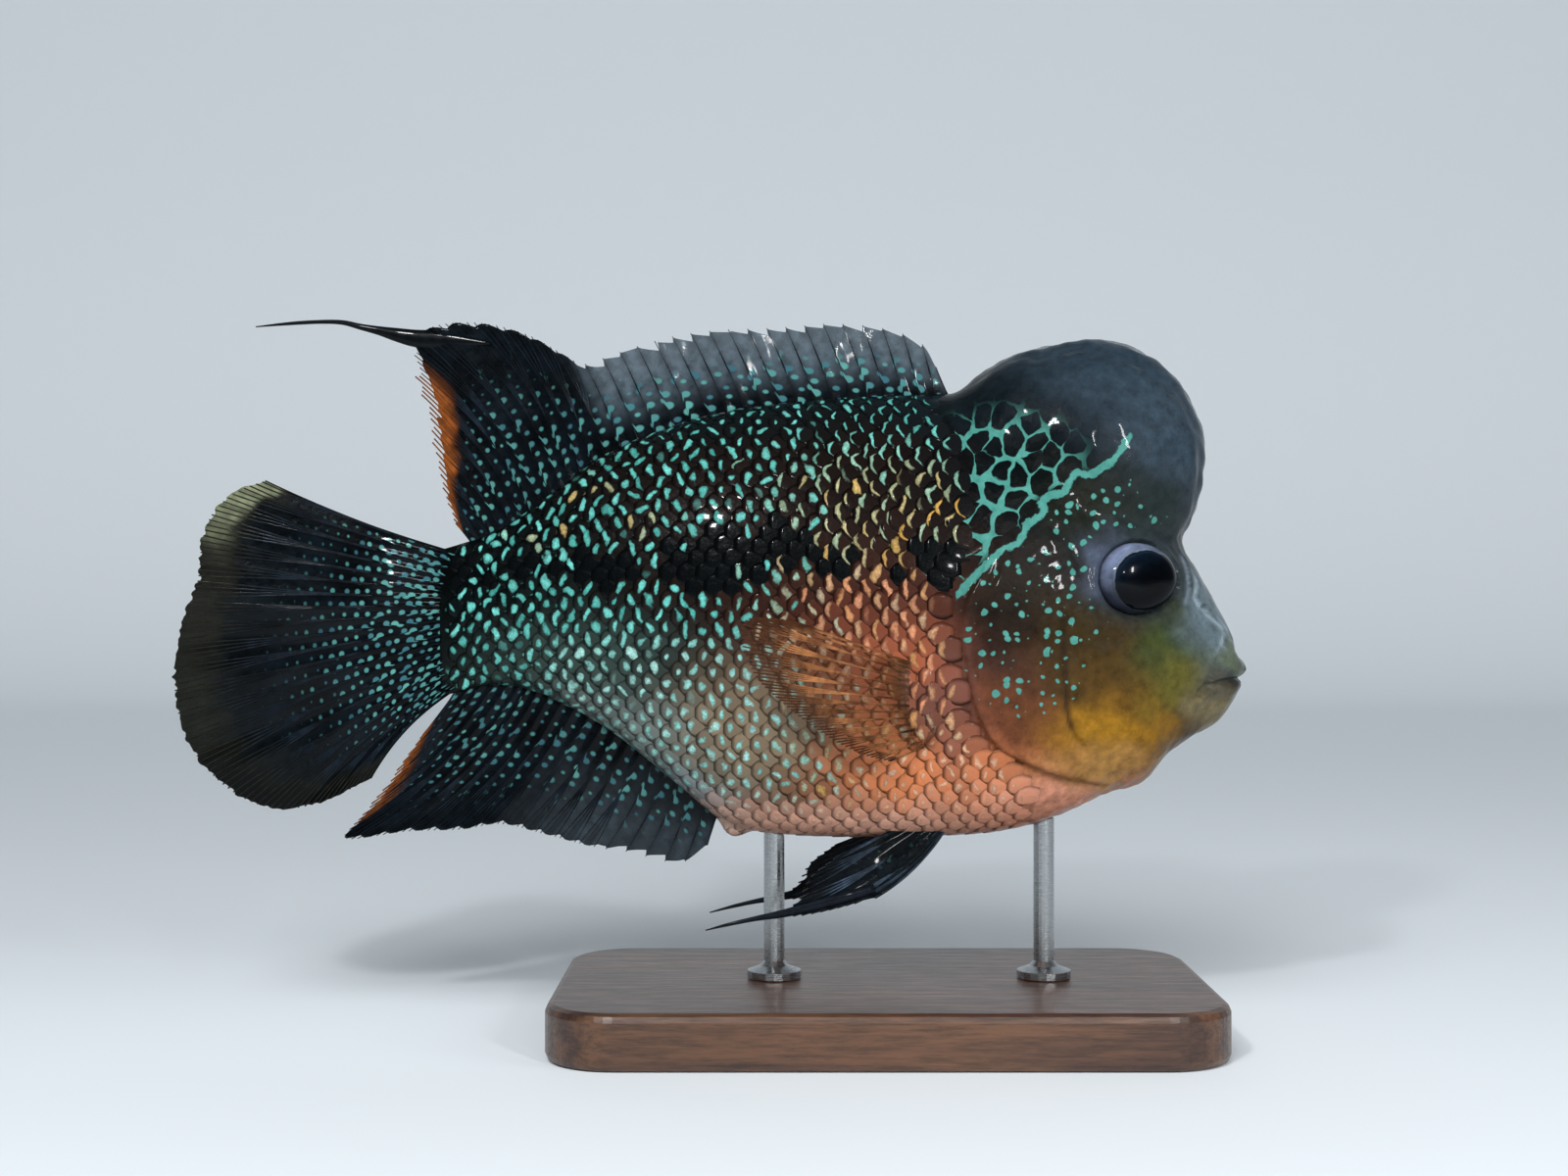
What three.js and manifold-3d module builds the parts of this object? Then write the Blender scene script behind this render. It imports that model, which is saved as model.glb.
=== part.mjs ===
// A life-size flowerhorn cichlid, as a museum shows one: head with a round nuchal hump, deep trunk,
// tail, rayed fins and eyes, on a flat wooden base with two steel rods. Millimetres, +Z up.
// The fish looks along +X. The origin is the centre of the base's underside.

import * as THREE from "three";
import { mergeVertices } from "three/addons/utils/BufferGeometryUtils.js";
import Module from "manifold-3d";

const wasm = await Module();
wasm.setup();

// Driving sizes of the stand
const BASE_LENGTH = 132;
const BASE_WIDTH = 78;
const BASE_HEIGHT = 11;
const BASE_CORNER = 14;
const BASE_BEVEL = 1.6;
const ROD_RADIUS = 2.1;
const ROD_FOOT_RADIUS = 5.5;
const ROD_FOOT_HEIGHT = 2.4;
const FRONT_ROD_X = 33;
const REAR_ROD_X = -22;

// The gap that touching pieces keep, and how deep a fin's root is sunk before the body is cut from it
const GAP = 0.3;
const ROOT_SINK = 3;

// The body from tail to snout: place along X, top, bottom, half width, and height of the widest point
const BODY_STATIONS = [
  [-90, 98.4, 68.6, 1.5, 84],
  [-86, 99.6, 69.4, 3.2, 84.5],
  [-82, 100.9, 70.4, 4.6, 85],
  [-76, 103.6, 70.8, 6.4, 86],
  [-68, 109.4, 68.4, 8.8, 87],
  [-56, 118, 62, 12.6, 88],
  [-40, 124.6, 49.4, 16.8, 88],
  [-32, 126.6, 43, 18.4, 88],
  [-20, 128.3, 40.5, 20, 87],
  [0, 129.7, 40, 21.6, 85],
  [20, 130, 40.7, 22.3, 84],
  [32, 127.6, 43, 21.6, 84],
  [40, 123.4, 46.2, 20, 84],
  [46, 118.6, 49, 18.2, 84],
  [53, 110.4, 51.2, 15.9, 82.5],
  [58, 103.4, 56.8, 13.9, 81],
  [63, 96, 60.3, 11.6, 79],
  [68, 87.2, 63.2, 8.8, 76.5],
  [71.2, 80.8, 67.4, 6.2, 74.5],
  [73, 76.6, 71.6, 3, 74],
];
const BODY_START = BODY_STATIONS[0][0];
const UPPER_FLANK_POWER = 1.9;
const LOWER_FLANK_POWER = 2.15;

// Rounded masses melted into the body: centre, radii, and the width of the blend
const HUMP_FRONT = { centre: [43.2, 0, 116.4], radii: [22.4, 17.2, 24.8], blend: 2.5 };
const HUMP_REAR = { centre: [33.6, 0, 121.8], radii: [19.2, 14.6, 17.6], blend: 2.4 };
const UPPER_LIP = { centre: [69.2, 0, 74.9], radii: [4.6, 5.4, 2.1], blend: 0.9 };
const LOWER_LIP = { centre: [67.4, 0, 69.6], radii: [4.5, 5, 2.4], blend: 0.9 };

// Each eye is a flattened ball whose axis turns a little forward, in a dished socket
const EYE_CENTRE = [49.7, 12.5, 92.4];
const EYE_RADII = [8.2, 6.2, 7.7];
const EYE_TURN = THREE.MathUtils.degToRad(15);
const DISH = { reach: 11.7, radius: 11.5, blend: 1.2 };

// The ray fan that draws the head starts here and closes on the snout
const FAN_X = 36;
const FAN_Z = 92;
const SNOUT = [73.4, 0, 74.6];
const RING_SIDES = 40;
const TUBE_RINGS = 27;
const FAN_RINGS = 18;
const EYE_SIDES = 20;

// Thin cuts between head, hump, trunk and tail, as routes in the XZ plane
const HUMP_CUT = [
  [5, 136.6],
  [15, 130.6],
  [60.8, 100.2],
  [69, 95],
];
const GILL_CUT = [
  [10, 140],
  [15.5, 128],
  [20.4, 104],
  [18.8, 95],
  [15.6, 88.6],
  [14.3, 83.8],
  [15, 77.8],
  [16.6, 69.6],
  [19, 63.4],
  [22.1, 59],
  [27, 56.4],
  [33, 53.8],
  [39, 52.2],
  [48, 50.4],
  [60, 46],
];
const TAIL_CUT = [
  [-70, 125],
  [-66, 88],
  [-70, 50],
];

// Shallow grooves on the head: the closed mouth and the edge of the front cheek plate
const MOUTH_LINE = [
  [62.8, 70.2],
  [68, 72],
  [72.8, 72.4],
  [78, 71.4],
];
const MOUTH_DEPTH = 1.8;
const LIP = { rise: 0.9, offset: 1.9, spread: 1.3 };
const CHEEK_LINE = [
  [33.8, 86],
  [34.6, 76],
  [35.4, 66],
  [37.4, 60.8],
  [42, 57],
  [49, 55],
];
const CHEEK_DEPTH = 0.8;
const GROOVE_WIDTH = 0.7;
const NOSTRIL = { centre: [63.6, 9, 86.6], radius: 1.1 };

// Fin rays as [root X, tip X, tip Z, bend, sideways lean at the tip]. The root's height comes from the body.
const DORSAL_RAYS = [
  [14.4, 11, 135.6, 0, 0],
  [11.4, 8, 140.4, 0, 0.3],
  [5.6, 1, 143.4, 0.02, 0.6],
  [-3.4, -9.6, 144.4, 0.03, 0.8],
  [-15, -22, 143.6, 0.03, 0.6],
  [-31, -39.4, 142.4, 0.03, 0],
  [-46.4, -54.4, 138.2, 0.04, -0.7],
  [-52.6, -60.4, 136, 0.05, -1],
  [-56.2, -65, 138.2, 0.06, -0.6],
  [-60, -72.6, 142.4, 0.08, 0.2],
  [-63.4, -82, 144.8, 0.12, 1.2],
  [-66.2, -91, 144.4, 0.14, 2],
  [-68.8, -95.6, 141.4, 0.15, 2.4],
  [-71.2, -94, 135.2, 0.13, 2],
  [-73.6, -92, 128.8, 0.1, 1.2],
  [-76, -90.8, 122.6, 0.08, 0.4],
  [-78.2, -90, 116, 0.05, -0.2],
  [-80.2, -88.8, 109.8, 0.02, -0.4],
  [-82, -86.6, 103.4, 0, -0.2],
];
const DORSAL_COUNT = 24;
const DORSAL_FILAMENT = [
  [-84, 1.6, 138],
  [-94, 2.2, 141.2],
  [-101, 2.6, 143.6],
  [-108, 2.8, 144.8],
  [-112, 2.6, 145.4],
  [-120, 1.8, 145],
  [-127.6, 0.6, 144],
];
const ANAL_RAYS = [
  [-33.2, -35.6, 38.2, 0, 0],
  [-35.8, -40.4, 34.8, 0.03, 0.4],
  [-38.8, -45, 35, 0.05, 0.8],
  [-43, -52, 36.8, 0.05, 0.9],
  [-48, -60, 38, 0.05, 0.5],
  [-53.6, -69, 40.4, 0.06, -0.3],
  [-60, -77.6, 42.6, 0.07, -1],
  [-65, -86, 41.4, 0.09, -1.2],
  [-70, -97, 41, 0.12, -0.6],
  [-74.4, -109.6, 39.4, 0.14, 0.5],
  [-77.4, -105.6, 44.4, 0.12, 0.9],
  [-80.2, -101, 50, 0.09, 0.8],
  [-82.4, -97, 55.8, 0.06, 0.5],
  [-84.6, -93.4, 61, 0.03, 0.2],
];
const ANAL_COUNT = 14;
// Tail fin rays as [root Z, tip X, tip Z, bend, sideways lean at the tip]; roots stand at CAUDAL_ROOT_X.
const CAUDAL_RAYS = [
  [97.4, -126.6, 112.8, 0.04, 1],
  [95.6, -132.6, 110.4, 0.03, 0.4],
  [93.6, -137.2, 106.2, 0.02, -0.4],
  [91.4, -139.2, 100.6, 0.01, -1.2],
  [88.8, -140, 91.6, 0, -1.8],
  [86.2, -143.2, 83.6, 0, -1.8],
  [83.6, -144.6, 74.6, -0.01, -1.2],
  [81, -144.6, 65.6, -0.02, -0.2],
  [78.4, -141.4, 56.6, -0.03, 0.8],
  [76, -134, 48.8, -0.05, 1.6],
  [73.8, -125.4, 45, -0.07, 2],
  [71.8, -115.4, 46.2, -0.1, 1.6],
  [70.4, -104.6, 51.4, -0.12, 0.8],
];
const CAUDAL_COUNT = 15;
const CAUDAL_ROOT_X = -87;
// Pectoral fin rays as [root, tip], each [X, Y, Z] on the fish's left side
const PECTORAL_RAYS = [
  [[9.6, 19.6, 74.2], [-19, 29.6, 84.6]],
  [[9.4, 19.7, 72.4], [-27, 31.4, 84.6]],
  [[9.2, 19.8, 70.6], [-27.8, 31.2, 79.4]],
  [[9, 19.8, 68.8], [-25, 30.4, 73.4]],
  [[8.8, 19.7, 67], [-20, 29.2, 68.4]],
  [[8.6, 19.5, 65.2], [-14.6, 27.8, 64.2]],
  [[8.5, 19.2, 63.4], [-9.4, 26.2, 60.8]],
  [[8.4, 18.8, 61.6], [-4, 24.4, 58.2]],
  [[8.3, 18.3, 60], [0.6, 22.2, 57]],
];
const PECTORAL_COUNT = 10;
const PECTORAL_NORMAL = [0.28, 0.94, 0.19];
// Pelvic fin rays as [root, middle, tip] on the fish's left side
const PELVIC_RAYS = [
  [[13.2, 5.6, 44], [8, 8, 34], [-1.8, 10.4, 28.8]],
  [[12.8, 5.6, 44.2], [4, 9.2, 31], [-14, 11.8, 26]],
  [[12.4, 5.4, 44.6], [2, 8.8, 33.6], [-19.6, 12, 25.6]],
  [[11.8, 5.2, 45], [0, 8.2, 36], [-17, 11.6, 28.8]],
  [[11.2, 5, 45.4], [-2, 7.6, 38.2], [-14.6, 11, 33]],
  [[10.6, 4.8, 45.8], [-1, 7, 40.4], [-9.4, 10, 37]],
];
const PELVIC_COUNT = 5;
const PELVIC_NORMAL = [0.1, 0.93, 0.36];
const PELVIC_FILAMENT = [
  [-4, 10.4, 30.2],
  [-12, 11.6, 28],
  [-20, 12.2, 26],
  [-28, 12.4, 24.4],
  [-35.6, 12, 22.6],
];

// Colours from the photograph, as sRGB hex
const SKIN_DARK = 0x1c2e31;
const HUMP_GREY = 0x333d44;
const CHEEK_OLIVE = 0x5b5a2c;
const TRUNK_BRONZE = 0x5a4030;
const FIN_BLACK = 0x17222b;
const FIN_CLEAR = 0x6b4a2e;
const EYE_BLACK = 0x10141c;
const WALNUT = 0x4a3020;
const STEEL = 0x9a9da0;

const vec = (p) => new THREE.Vector3(...p);
const mirrored = ([x, y, z]) => [x, -y, z];
const lerp = THREE.MathUtils.lerp;
const smoothstep = THREE.MathUtils.smoothstep;

// Smooth curve through table rows whose first value is the place: returns the other values there.
function readStations(rows, x) {
  const last = rows.length - 1;
  const at = THREE.MathUtils.clamp(x, rows[0][0], rows[last][0]);
  let i = 0;
  while (i < last - 1 && rows[i + 1][0] < at) i += 1;
  const [a, b] = [rows[i], rows[i + 1]];
  const [before, after] = [rows[Math.max(i - 1, 0)], rows[Math.min(i + 2, last)]];
  const span = b[0] - a[0];
  const t = (at - a[0]) / span;
  return a.slice(1).map((value, k) => {
    const slopeA = (b[k + 1] - before[k + 1]) / (b[0] - before[0]);
    const slopeB = (after[k + 1] - value) / (after[0] - a[0]);
    const keep = value * (2 * t ** 3 - 3 * t ** 2 + 1) + b[k + 1] * (3 * t ** 2 - 2 * t ** 3);
    return keep + span * (slopeA * (t ** 3 - 2 * t ** 2 + t) + slopeB * (t ** 3 - t ** 2));
  });
}

// The same curves read once at every tenth of a millimetre
const TABLE_STEP = 0.1;
const tableLength = Math.round((BODY_STATIONS.at(-1)[0] - BODY_START) / TABLE_STEP);
const bodyTable = Array.from({ length: tableLength + 1 }, (_, i) =>
  readStations(BODY_STATIONS, BODY_START + i * TABLE_STEP),
);
const readBody = (x) => {
  const row = Math.round((x - BODY_START) / TABLE_STEP);
  return bodyTable[THREE.MathUtils.clamp(row, 0, tableLength)];
};

const bodyTop = (x) => readStations(BODY_STATIONS, x)[0];
const bodyBottom = (x) => readStations(BODY_STATIONS, x)[1];

// How far a point lies outside the plain body, in millimetres near its surface
function trunkDistance(x, y, z) {
  const [top, bottom, halfWidth, middle] = readBody(x);
  const upper = z > middle;
  const reach = upper ? top - middle : middle - bottom;
  const power = upper ? UPPER_FLANK_POWER : LOWER_FLANK_POWER;
  const across = Math.abs(y) / halfWidth;
  const along = Math.abs(z - middle) / reach;
  const ring = (across ** power + along ** power) ** (1 / power);
  return Math.max((ring - 1) * Math.min(halfWidth, reach), x - BODY_STATIONS.at(-1)[0]);
}

function ellipsoidDistance({ centre, radii }, x, y, z) {
  const [dx, dy, dz] = [x - centre[0], y - centre[1], z - centre[2]];
  const ring = Math.hypot(dx / radii[0], dy / radii[1], dz / radii[2]);
  return (ring - 1) * Math.min(...radii);
}

// The nearer of two distances, rounded over where they are alike
function melt(a, b, blend) {
  const h = Math.max(blend - Math.abs(a - b), 0) / blend;
  return Math.min(a, b) - (h * h * blend) / 4;
}

// How far the lips swell out above and below the mouth line
function lipSwell(x, z) {
  const [corner, tip] = [MOUTH_LINE[0][0], MOUTH_LINE.at(-2)[0]];
  if (x < corner - 3) return 0;
  const fromLine = Math.abs(z - readStations(MOUTH_LINE, x)[0]);
  const across = Math.exp(-(((fromLine - LIP.offset) / LIP.spread) ** 2));
  return LIP.rise * across * smoothstep(x, corner - 2, corner + 2) * smoothstep(tip + 2, x, tip + 4);
}

const MASSES = [HUMP_REAR, HUMP_FRONT, UPPER_LIP, LOWER_LIP];
const DISH_CENTRE = [
  EYE_CENTRE[0] + DISH.reach * Math.sin(EYE_TURN),
  EYE_CENTRE[1] + DISH.reach * Math.cos(EYE_TURN),
  EYE_CENTRE[2],
];

function bodyDistance(x, y, z) {
  const side = Math.abs(y);
  const full = MASSES.reduce(
    (sum, mass) => melt(sum, ellipsoidDistance(mass, x, side, z), mass.blend),
    trunkDistance(x, y, z) - lipSwell(x, z),
  );
  const [cx, cy, cz] = DISH_CENTRE;
  const dish = Math.hypot(x - cx, side - cy, z - cz) - DISH.radius;
  return -melt(-full, dish, DISH.blend);
}

// Where a ray from inside the body crosses the surface that is grown outward by offset
function surfacePoint(origin, direction, offset) {
  const furthest = 90;
  let [near, far] = [0, furthest];
  for (let step = 0; step < 24; step += 1) {
    const middle = (near + far) / 2;
    const p = direction.clone().multiplyScalar(middle).add(origin);
    if (bodyDistance(p.x, p.y, p.z) < offset) near = middle;
    else far = middle;
  }
  return direction.clone().multiplyScalar(near).add(origin);
}

// Closed mesh from rings of points with a pole at each end
function ringedSolid(rings, startPole, endPole) {
  const sides = rings[0].length;
  const points = [startPole, ...rings.flat(), endPole];
  const faces = [];
  const id = (ring, side) => 1 + ring * sides + (side % sides);
  const end = points.length - 1;
  for (let side = 0; side < sides; side += 1) {
    faces.push(0, id(0, side + 1), id(0, side));
    faces.push(end, id(rings.length - 1, side), id(rings.length - 1, side + 1));
    for (let ring = 0; ring < rings.length - 1; ring += 1) {
      const [a, b] = [id(ring, side), id(ring, side + 1)];
      const [c, d] = [id(ring + 1, side + 1), id(ring + 1, side)];
      faces.push(a, b, c, a, c, d);
    }
  }
  return solidFrom(points, faces);
}

function solidFrom(points, faces) {
  const mesh = (triangles) =>
    new wasm.Manifold(
      new wasm.Mesh({
        numProp: 3,
        vertProperties: new Float32Array(points.flatMap((p) => [p.x, p.y, p.z])),
        triVerts: new Uint32Array(triangles),
      }),
    );
  const made = mesh(faces);
  return made.volume() > 0 ? made : mesh(faces.toReversed());
}

function solidOfGeometry(geometry) {
  const plain = geometry.clone();
  plain.deleteAttribute("normal");
  plain.deleteAttribute("uv");
  const merged = mergeVertices(plain, 1e-4);
  const position = merged.getAttribute("position");
  const points = Array.from({ length: position.count }, (_, i) =>
    new THREE.Vector3().fromBufferAttribute(position, i),
  );
  return solidFrom(points, Array.from(merged.index.array));
}

// The whole fish without fins, its surface grown outward by offset
function bodySolid(offset) {
  const around = Array.from({ length: RING_SIDES }, (_, i) => (2 * Math.PI * i) / RING_SIDES);
  const rings = [];
  for (let i = 0; i <= TUBE_RINGS; i += 1) {
    const x = lerp(BODY_START, FAN_X, (i / TUBE_RINGS) ** 0.85);
    const middle = lerp(readStations(BODY_STATIONS, x)[3], FAN_Z, smoothstep(x, -60, FAN_X));
    const origin = new THREE.Vector3(x, 0, middle);
    rings.push(
      around.map((a) => surfacePoint(origin, new THREE.Vector3(0, Math.sin(a), Math.cos(a)), offset)),
    );
  }
  const fan = new THREE.Vector3(FAN_X, 0, FAN_Z);
  const toSnout = vec(SNOUT).sub(fan).normalize();
  for (let i = 1; i < FAN_RINGS; i += 1) {
    const turn = (Math.PI / 2) * (1 - i / FAN_RINGS);
    rings.push(
      around.map((a) => {
        const direction = new THREE.Vector3(0, Math.sin(a), Math.cos(a))
          .multiplyScalar(Math.sin(turn))
          .addScaledVector(toSnout, Math.cos(turn))
          .normalize();
        return surfacePoint(fan, direction, offset);
      }),
    );
  }
  const tailEnd = new THREE.Vector3(BODY_START - offset, 0, BODY_STATIONS[0][4]);
  const capped = rings[0].map((p) => new THREE.Vector3(BODY_START - offset, p.y * 0.9, p.z));
  return ringedSolid([capped, ...rings], tailEnd, surfacePoint(fan, toSnout, offset));
}

// Flat shape in the XZ plane, pushed through from Y = -reach to Y = reach
function prismXZ(outline, reach) {
  const shape = new THREE.Shape(outline.map(([x, z]) => new THREE.Vector2(x, z)));
  const geometry = new THREE.ExtrudeGeometry(shape, { depth: 2 * reach, bevelEnabled: false });
  geometry.rotateX(Math.PI / 2);
  geometry.translate(0, reach, 0);
  return solidOfGeometry(geometry);
}

// A thin wall that follows a route in the XZ plane
function ribbon(route, width) {
  const curve = new THREE.CatmullRomCurve3(route.map(([x, z]) => new THREE.Vector3(x, 0, z)));
  const steps = 5 * (route.length - 1);
  const side = (sign, i) => {
    const p = curve.getPoint(i / steps);
    const t = curve.getTangent(i / steps);
    return [p.x - (sign * t.z * width) / 2, p.z + (sign * t.x * width) / 2];
  };
  const indices = Array.from({ length: steps + 1 }, (_, i) => i);
  const left = indices.map((i) => side(1, i));
  const right = indices.map((i) => side(-1, i)).reverse();
  return prismXZ([...left, ...right], 70);
}

const largest = (solid) => solid.decompose().reduce((a, b) => (b.volume() > a.volume() ? b : a));

// Cuts a solid along a ribbon into its two largest pieces, the one further along the axis first
function partAt(solid, route, axis) {
  const pieces = solid.subtract(ribbon(route, GAP)).decompose();
  const two = pieces.sort((a, b) => b.volume() - a.volume()).slice(0, 2);
  const middle = (piece) => piece.boundingBox().max[axis] + piece.boundingBox().min[axis];
  return two.sort((a, b) => middle(b) - middle(a));
}

function ball(centre, radius, detail) {
  const geometry = new THREE.SphereGeometry(radius, detail, detail / 2);
  geometry.translate(...centre);
  return solidOfGeometry(geometry);
}

// The eye of one side, or its socket when grown by the gap; side is 1 for left and -1 for right
function eyeball(side, grown) {
  const geometry = new THREE.SphereGeometry(1, EYE_SIDES, EYE_SIDES / 2);
  geometry.scale(...EYE_RADII.map((r) => r + grown));
  geometry.rotateZ(-side * EYE_TURN);
  geometry.translate(EYE_CENTRE[0], side * EYE_CENTRE[1], EYE_CENTRE[2]);
  return solidOfGeometry(geometry);
}

// A round thread that tapers from one radius to another along its points
function taperedThread(points, startRadius, endRadius, sides) {
  const curve = new THREE.CatmullRomCurve3(points.map(vec));
  const steps = 2 * (points.length - 1);
  const frames = curve.computeFrenetFrames(steps);
  const rings = [];
  for (let i = 0; i <= steps; i += 1) {
    const radius = lerp(startRadius, endRadius, i / steps);
    const ring = Array.from({ length: sides }, (_, k) => {
      const a = (2 * Math.PI * k) / sides;
      return curve
        .getPoint(i / steps)
        .addScaledVector(frames.normals[i], radius * Math.cos(a))
        .addScaledVector(frames.binormals[i], radius * Math.sin(a));
    });
    rings.push(ring);
  }
  return ringedSolid(rings, curve.getPoint(0), curve.getPoint(1));
}

// A fin as a ribbed sheet. rays holds [root, middle, tip] for a few rays, and count rays are drawn
// through them. Both faces have the same grid, moved apart along the one normal, so they never cross.
function finSolid({ rays, count, normal, rootThickness, edgeThickness, ridge, notch, rows }) {
  const tracks = [0, 1, 2].map((k) => new THREE.CatmullRomCurve3(rays.map((ray) => vec(ray[k]))));
  const along = (track, u) => track.getPoint(THREE.MathUtils.clamp(u, 0, 1));
  const columns = [];
  const flank = 0.24 / (count - 1);
  for (let i = 0; i < count; i += 1) {
    const u = i / (count - 1);
    if (i > 0 && ridge > 0) columns.push({ u: u - flank, peak: false });
    columns.push({ u, peak: true });
    if (i < count - 1 && ridge > 0) columns.push({ u: u + flank, peak: false });
  }
  const direction = vec(normal).normalize();
  const faces = [];
  const [front, back] = [[], []];
  for (const { u, peak } of columns) {
    const [root, middle, tip] = tracks.map((track) => along(track, u));
    for (let row = 0; row <= rows; row += 1) {
      const v = (row / rows) * (peak ? 1 : 1 - notch);
      const p = root
        .clone()
        .multiplyScalar((1 - v) ** 2)
        .addScaledVector(middle, 2 * v * (1 - v))
        .addScaledVector(tip, v ** 2);
      const sheet = lerp(rootThickness, edgeThickness, Math.min(1, v * 1.25));
      const half = (sheet + (peak ? ridge * (1 - 0.75 * v) : 0)) / 2;
      front.push(p.clone().addScaledVector(direction, half));
      back.push(p.clone().addScaledVector(direction, -half));
    }
  }
  const total = front.length;
  const high = rows + 1;
  const wide = columns.length;
  const id = (c, r) => c * high + r;
  const quad = (a, b, c, d) => faces.push(a, b, c, a, c, d);
  for (let c = 0; c < wide - 1; c += 1) {
    for (let r = 0; r < rows; r += 1) {
      const [p, q, s, t] = [id(c, r), id(c + 1, r), id(c + 1, r + 1), id(c, r + 1)];
      quad(p, q, s, t);
      faces.push(p + total, s + total, q + total, p + total, t + total, s + total);
    }
    quad(id(c + 1, 0), id(c, 0), id(c, 0) + total, id(c + 1, 0) + total);
    quad(id(c, rows), id(c + 1, rows), id(c + 1, rows) + total, id(c, rows) + total);
  }
  for (let r = 0; r < rows; r += 1) {
    quad(id(0, r), id(0, r + 1), id(0, r + 1) + total, id(0, r) + total);
    const c = wide - 1;
    quad(id(c, r + 1), id(c, r), id(c, r) + total, id(c, r + 1) + total);
  }
  return solidFrom([...front, ...back], faces);
}

// The middle of a ray in the XZ plane, pushed off its chord by bend times its length
function bentMiddle([x0, z0], [x1, z1], bend) {
  return [(x0 + x1) / 2 - bend * (z0 - z1), (z0 + z1) / 2 - bend * (x1 - x0)];
}

// Rays of a fin on the back or belly line, rooted below the surface there
function medianRays(table, rootHeight) {
  return table.map(([rootX, tipX, tipZ, bend, lean]) => {
    const root = [rootX, rootHeight(rootX)];
    const sign = tipZ > root[1] ? 1 : -1;
    const middle = bentMiddle(root, [tipX, tipZ], bend * sign);
    return [
      [root[0], 0, root[1]],
      [middle[0], lean * 0.35, middle[1]],
      [tipX, lean, tipZ],
    ];
  });
}

const body = bodySolid(0);
const clearance = bodySolid(GAP);

function fish() {
  const skinUnder = (depth) => bodySolid(-depth);
  const mouth = ribbon(MOUTH_LINE, GROOVE_WIDTH).subtract(skinUnder(MOUTH_DEPTH));
  const cheek = ribbon(CHEEK_LINE, GROOVE_WIDTH).subtract(skinUnder(CHEEK_DEPTH));
  const [hump, rest] = partAt(body, HUMP_CUT, 2);
  const [head, hind] = partAt(rest, GILL_CUT, 0);
  const [trunk, tail] = partAt(hind, TAIL_CUT, 0);
  const sockets = [1, -1].map((side) => eyeball(side, GAP));
  const nostrils = [NOSTRIL.centre, mirrored(NOSTRIL.centre)].map((c) => ball(c, NOSTRIL.radius, 8));
  const carved = [mouth, cheek, ...sockets, ...nostrils].reduce((h, tool) => h.subtract(tool), head);
  return { hump, head: largest(carved), trunk, tail };
}

function medianFins() {
  const dorsal = finSolid({
    rays: medianRays(DORSAL_RAYS, (x) => bodyTop(x) - ROOT_SINK),
    count: DORSAL_COUNT,
    normal: [0, 1, 0],
    rootThickness: 2.6,
    edgeThickness: 0.55,
    ridge: 0.8,
    notch: 0.06,
    rows: 5,
  });
  const streamer = taperedThread(DORSAL_FILAMENT, 1.3, 0.3, 6);
  const anal = finSolid({
    rays: medianRays(ANAL_RAYS, (x) => bodyBottom(x) + ROOT_SINK),
    count: ANAL_COUNT,
    normal: [0, 1, 0],
    rootThickness: 2.4,
    edgeThickness: 0.55,
    ridge: 0.8,
    notch: 0.05,
    rows: 5,
  });
  const caudal = finSolid({
    rays: CAUDAL_RAYS.map(([rootZ, tipX, tipZ, bend, lean]) => {
      const middle = bentMiddle([CAUDAL_ROOT_X, rootZ], [tipX, tipZ], -bend);
      return [[CAUDAL_ROOT_X, 0, rootZ], [middle[0], lean * 0.2, middle[1]], [tipX, lean, tipZ]];
    }),
    count: CAUDAL_COUNT,
    normal: [0, 1, 0],
    rootThickness: 2.8,
    edgeThickness: 0.6,
    ridge: 0.8,
    notch: 0.03,
    rows: 6,
  });
  return { dorsal: dorsal.add(streamer), anal, caudal };
}

// A paired fin from rays written for the left side; side is 1 for left and -1 for right
function pairedFin(rays, sheet, side) {
  const placed = rays.map((ray) => ray.map((p) => (side > 0 ? p : mirrored(p))));
  const normal = side > 0 ? sheet.normal : mirrored(sheet.normal);
  return finSolid({ ...sheet, rays: placed, normal });
}

function pectoralFin(side) {
  const rays = PECTORAL_RAYS.map(([root, tip]) => {
    const middle = vec(root).lerp(vec(tip), 0.5).add(new THREE.Vector3(0, 0.8, 0));
    return [root, middle.toArray(), tip];
  });
  const sheet = { count: PECTORAL_COUNT, normal: PECTORAL_NORMAL, rows: 4, notch: 0.03 };
  return pairedFin(rays, { ...sheet, rootThickness: 2.2, edgeThickness: 0.5, ridge: 0.5 }, side);
}

function pelvicFin(side) {
  const sheet = { count: PELVIC_COUNT, normal: PELVIC_NORMAL, rows: 5, notch: 0.03 };
  const fan = pairedFin(PELVIC_RAYS, { ...sheet, rootThickness: 2.2, edgeThickness: 0.6, ridge: 0.9 }, side);
  const points = PELVIC_FILAMENT.map((p) => (side > 0 ? p : mirrored(p)));
  return fan.add(taperedThread(points, 0.9, 0.3, 6));
}

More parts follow.
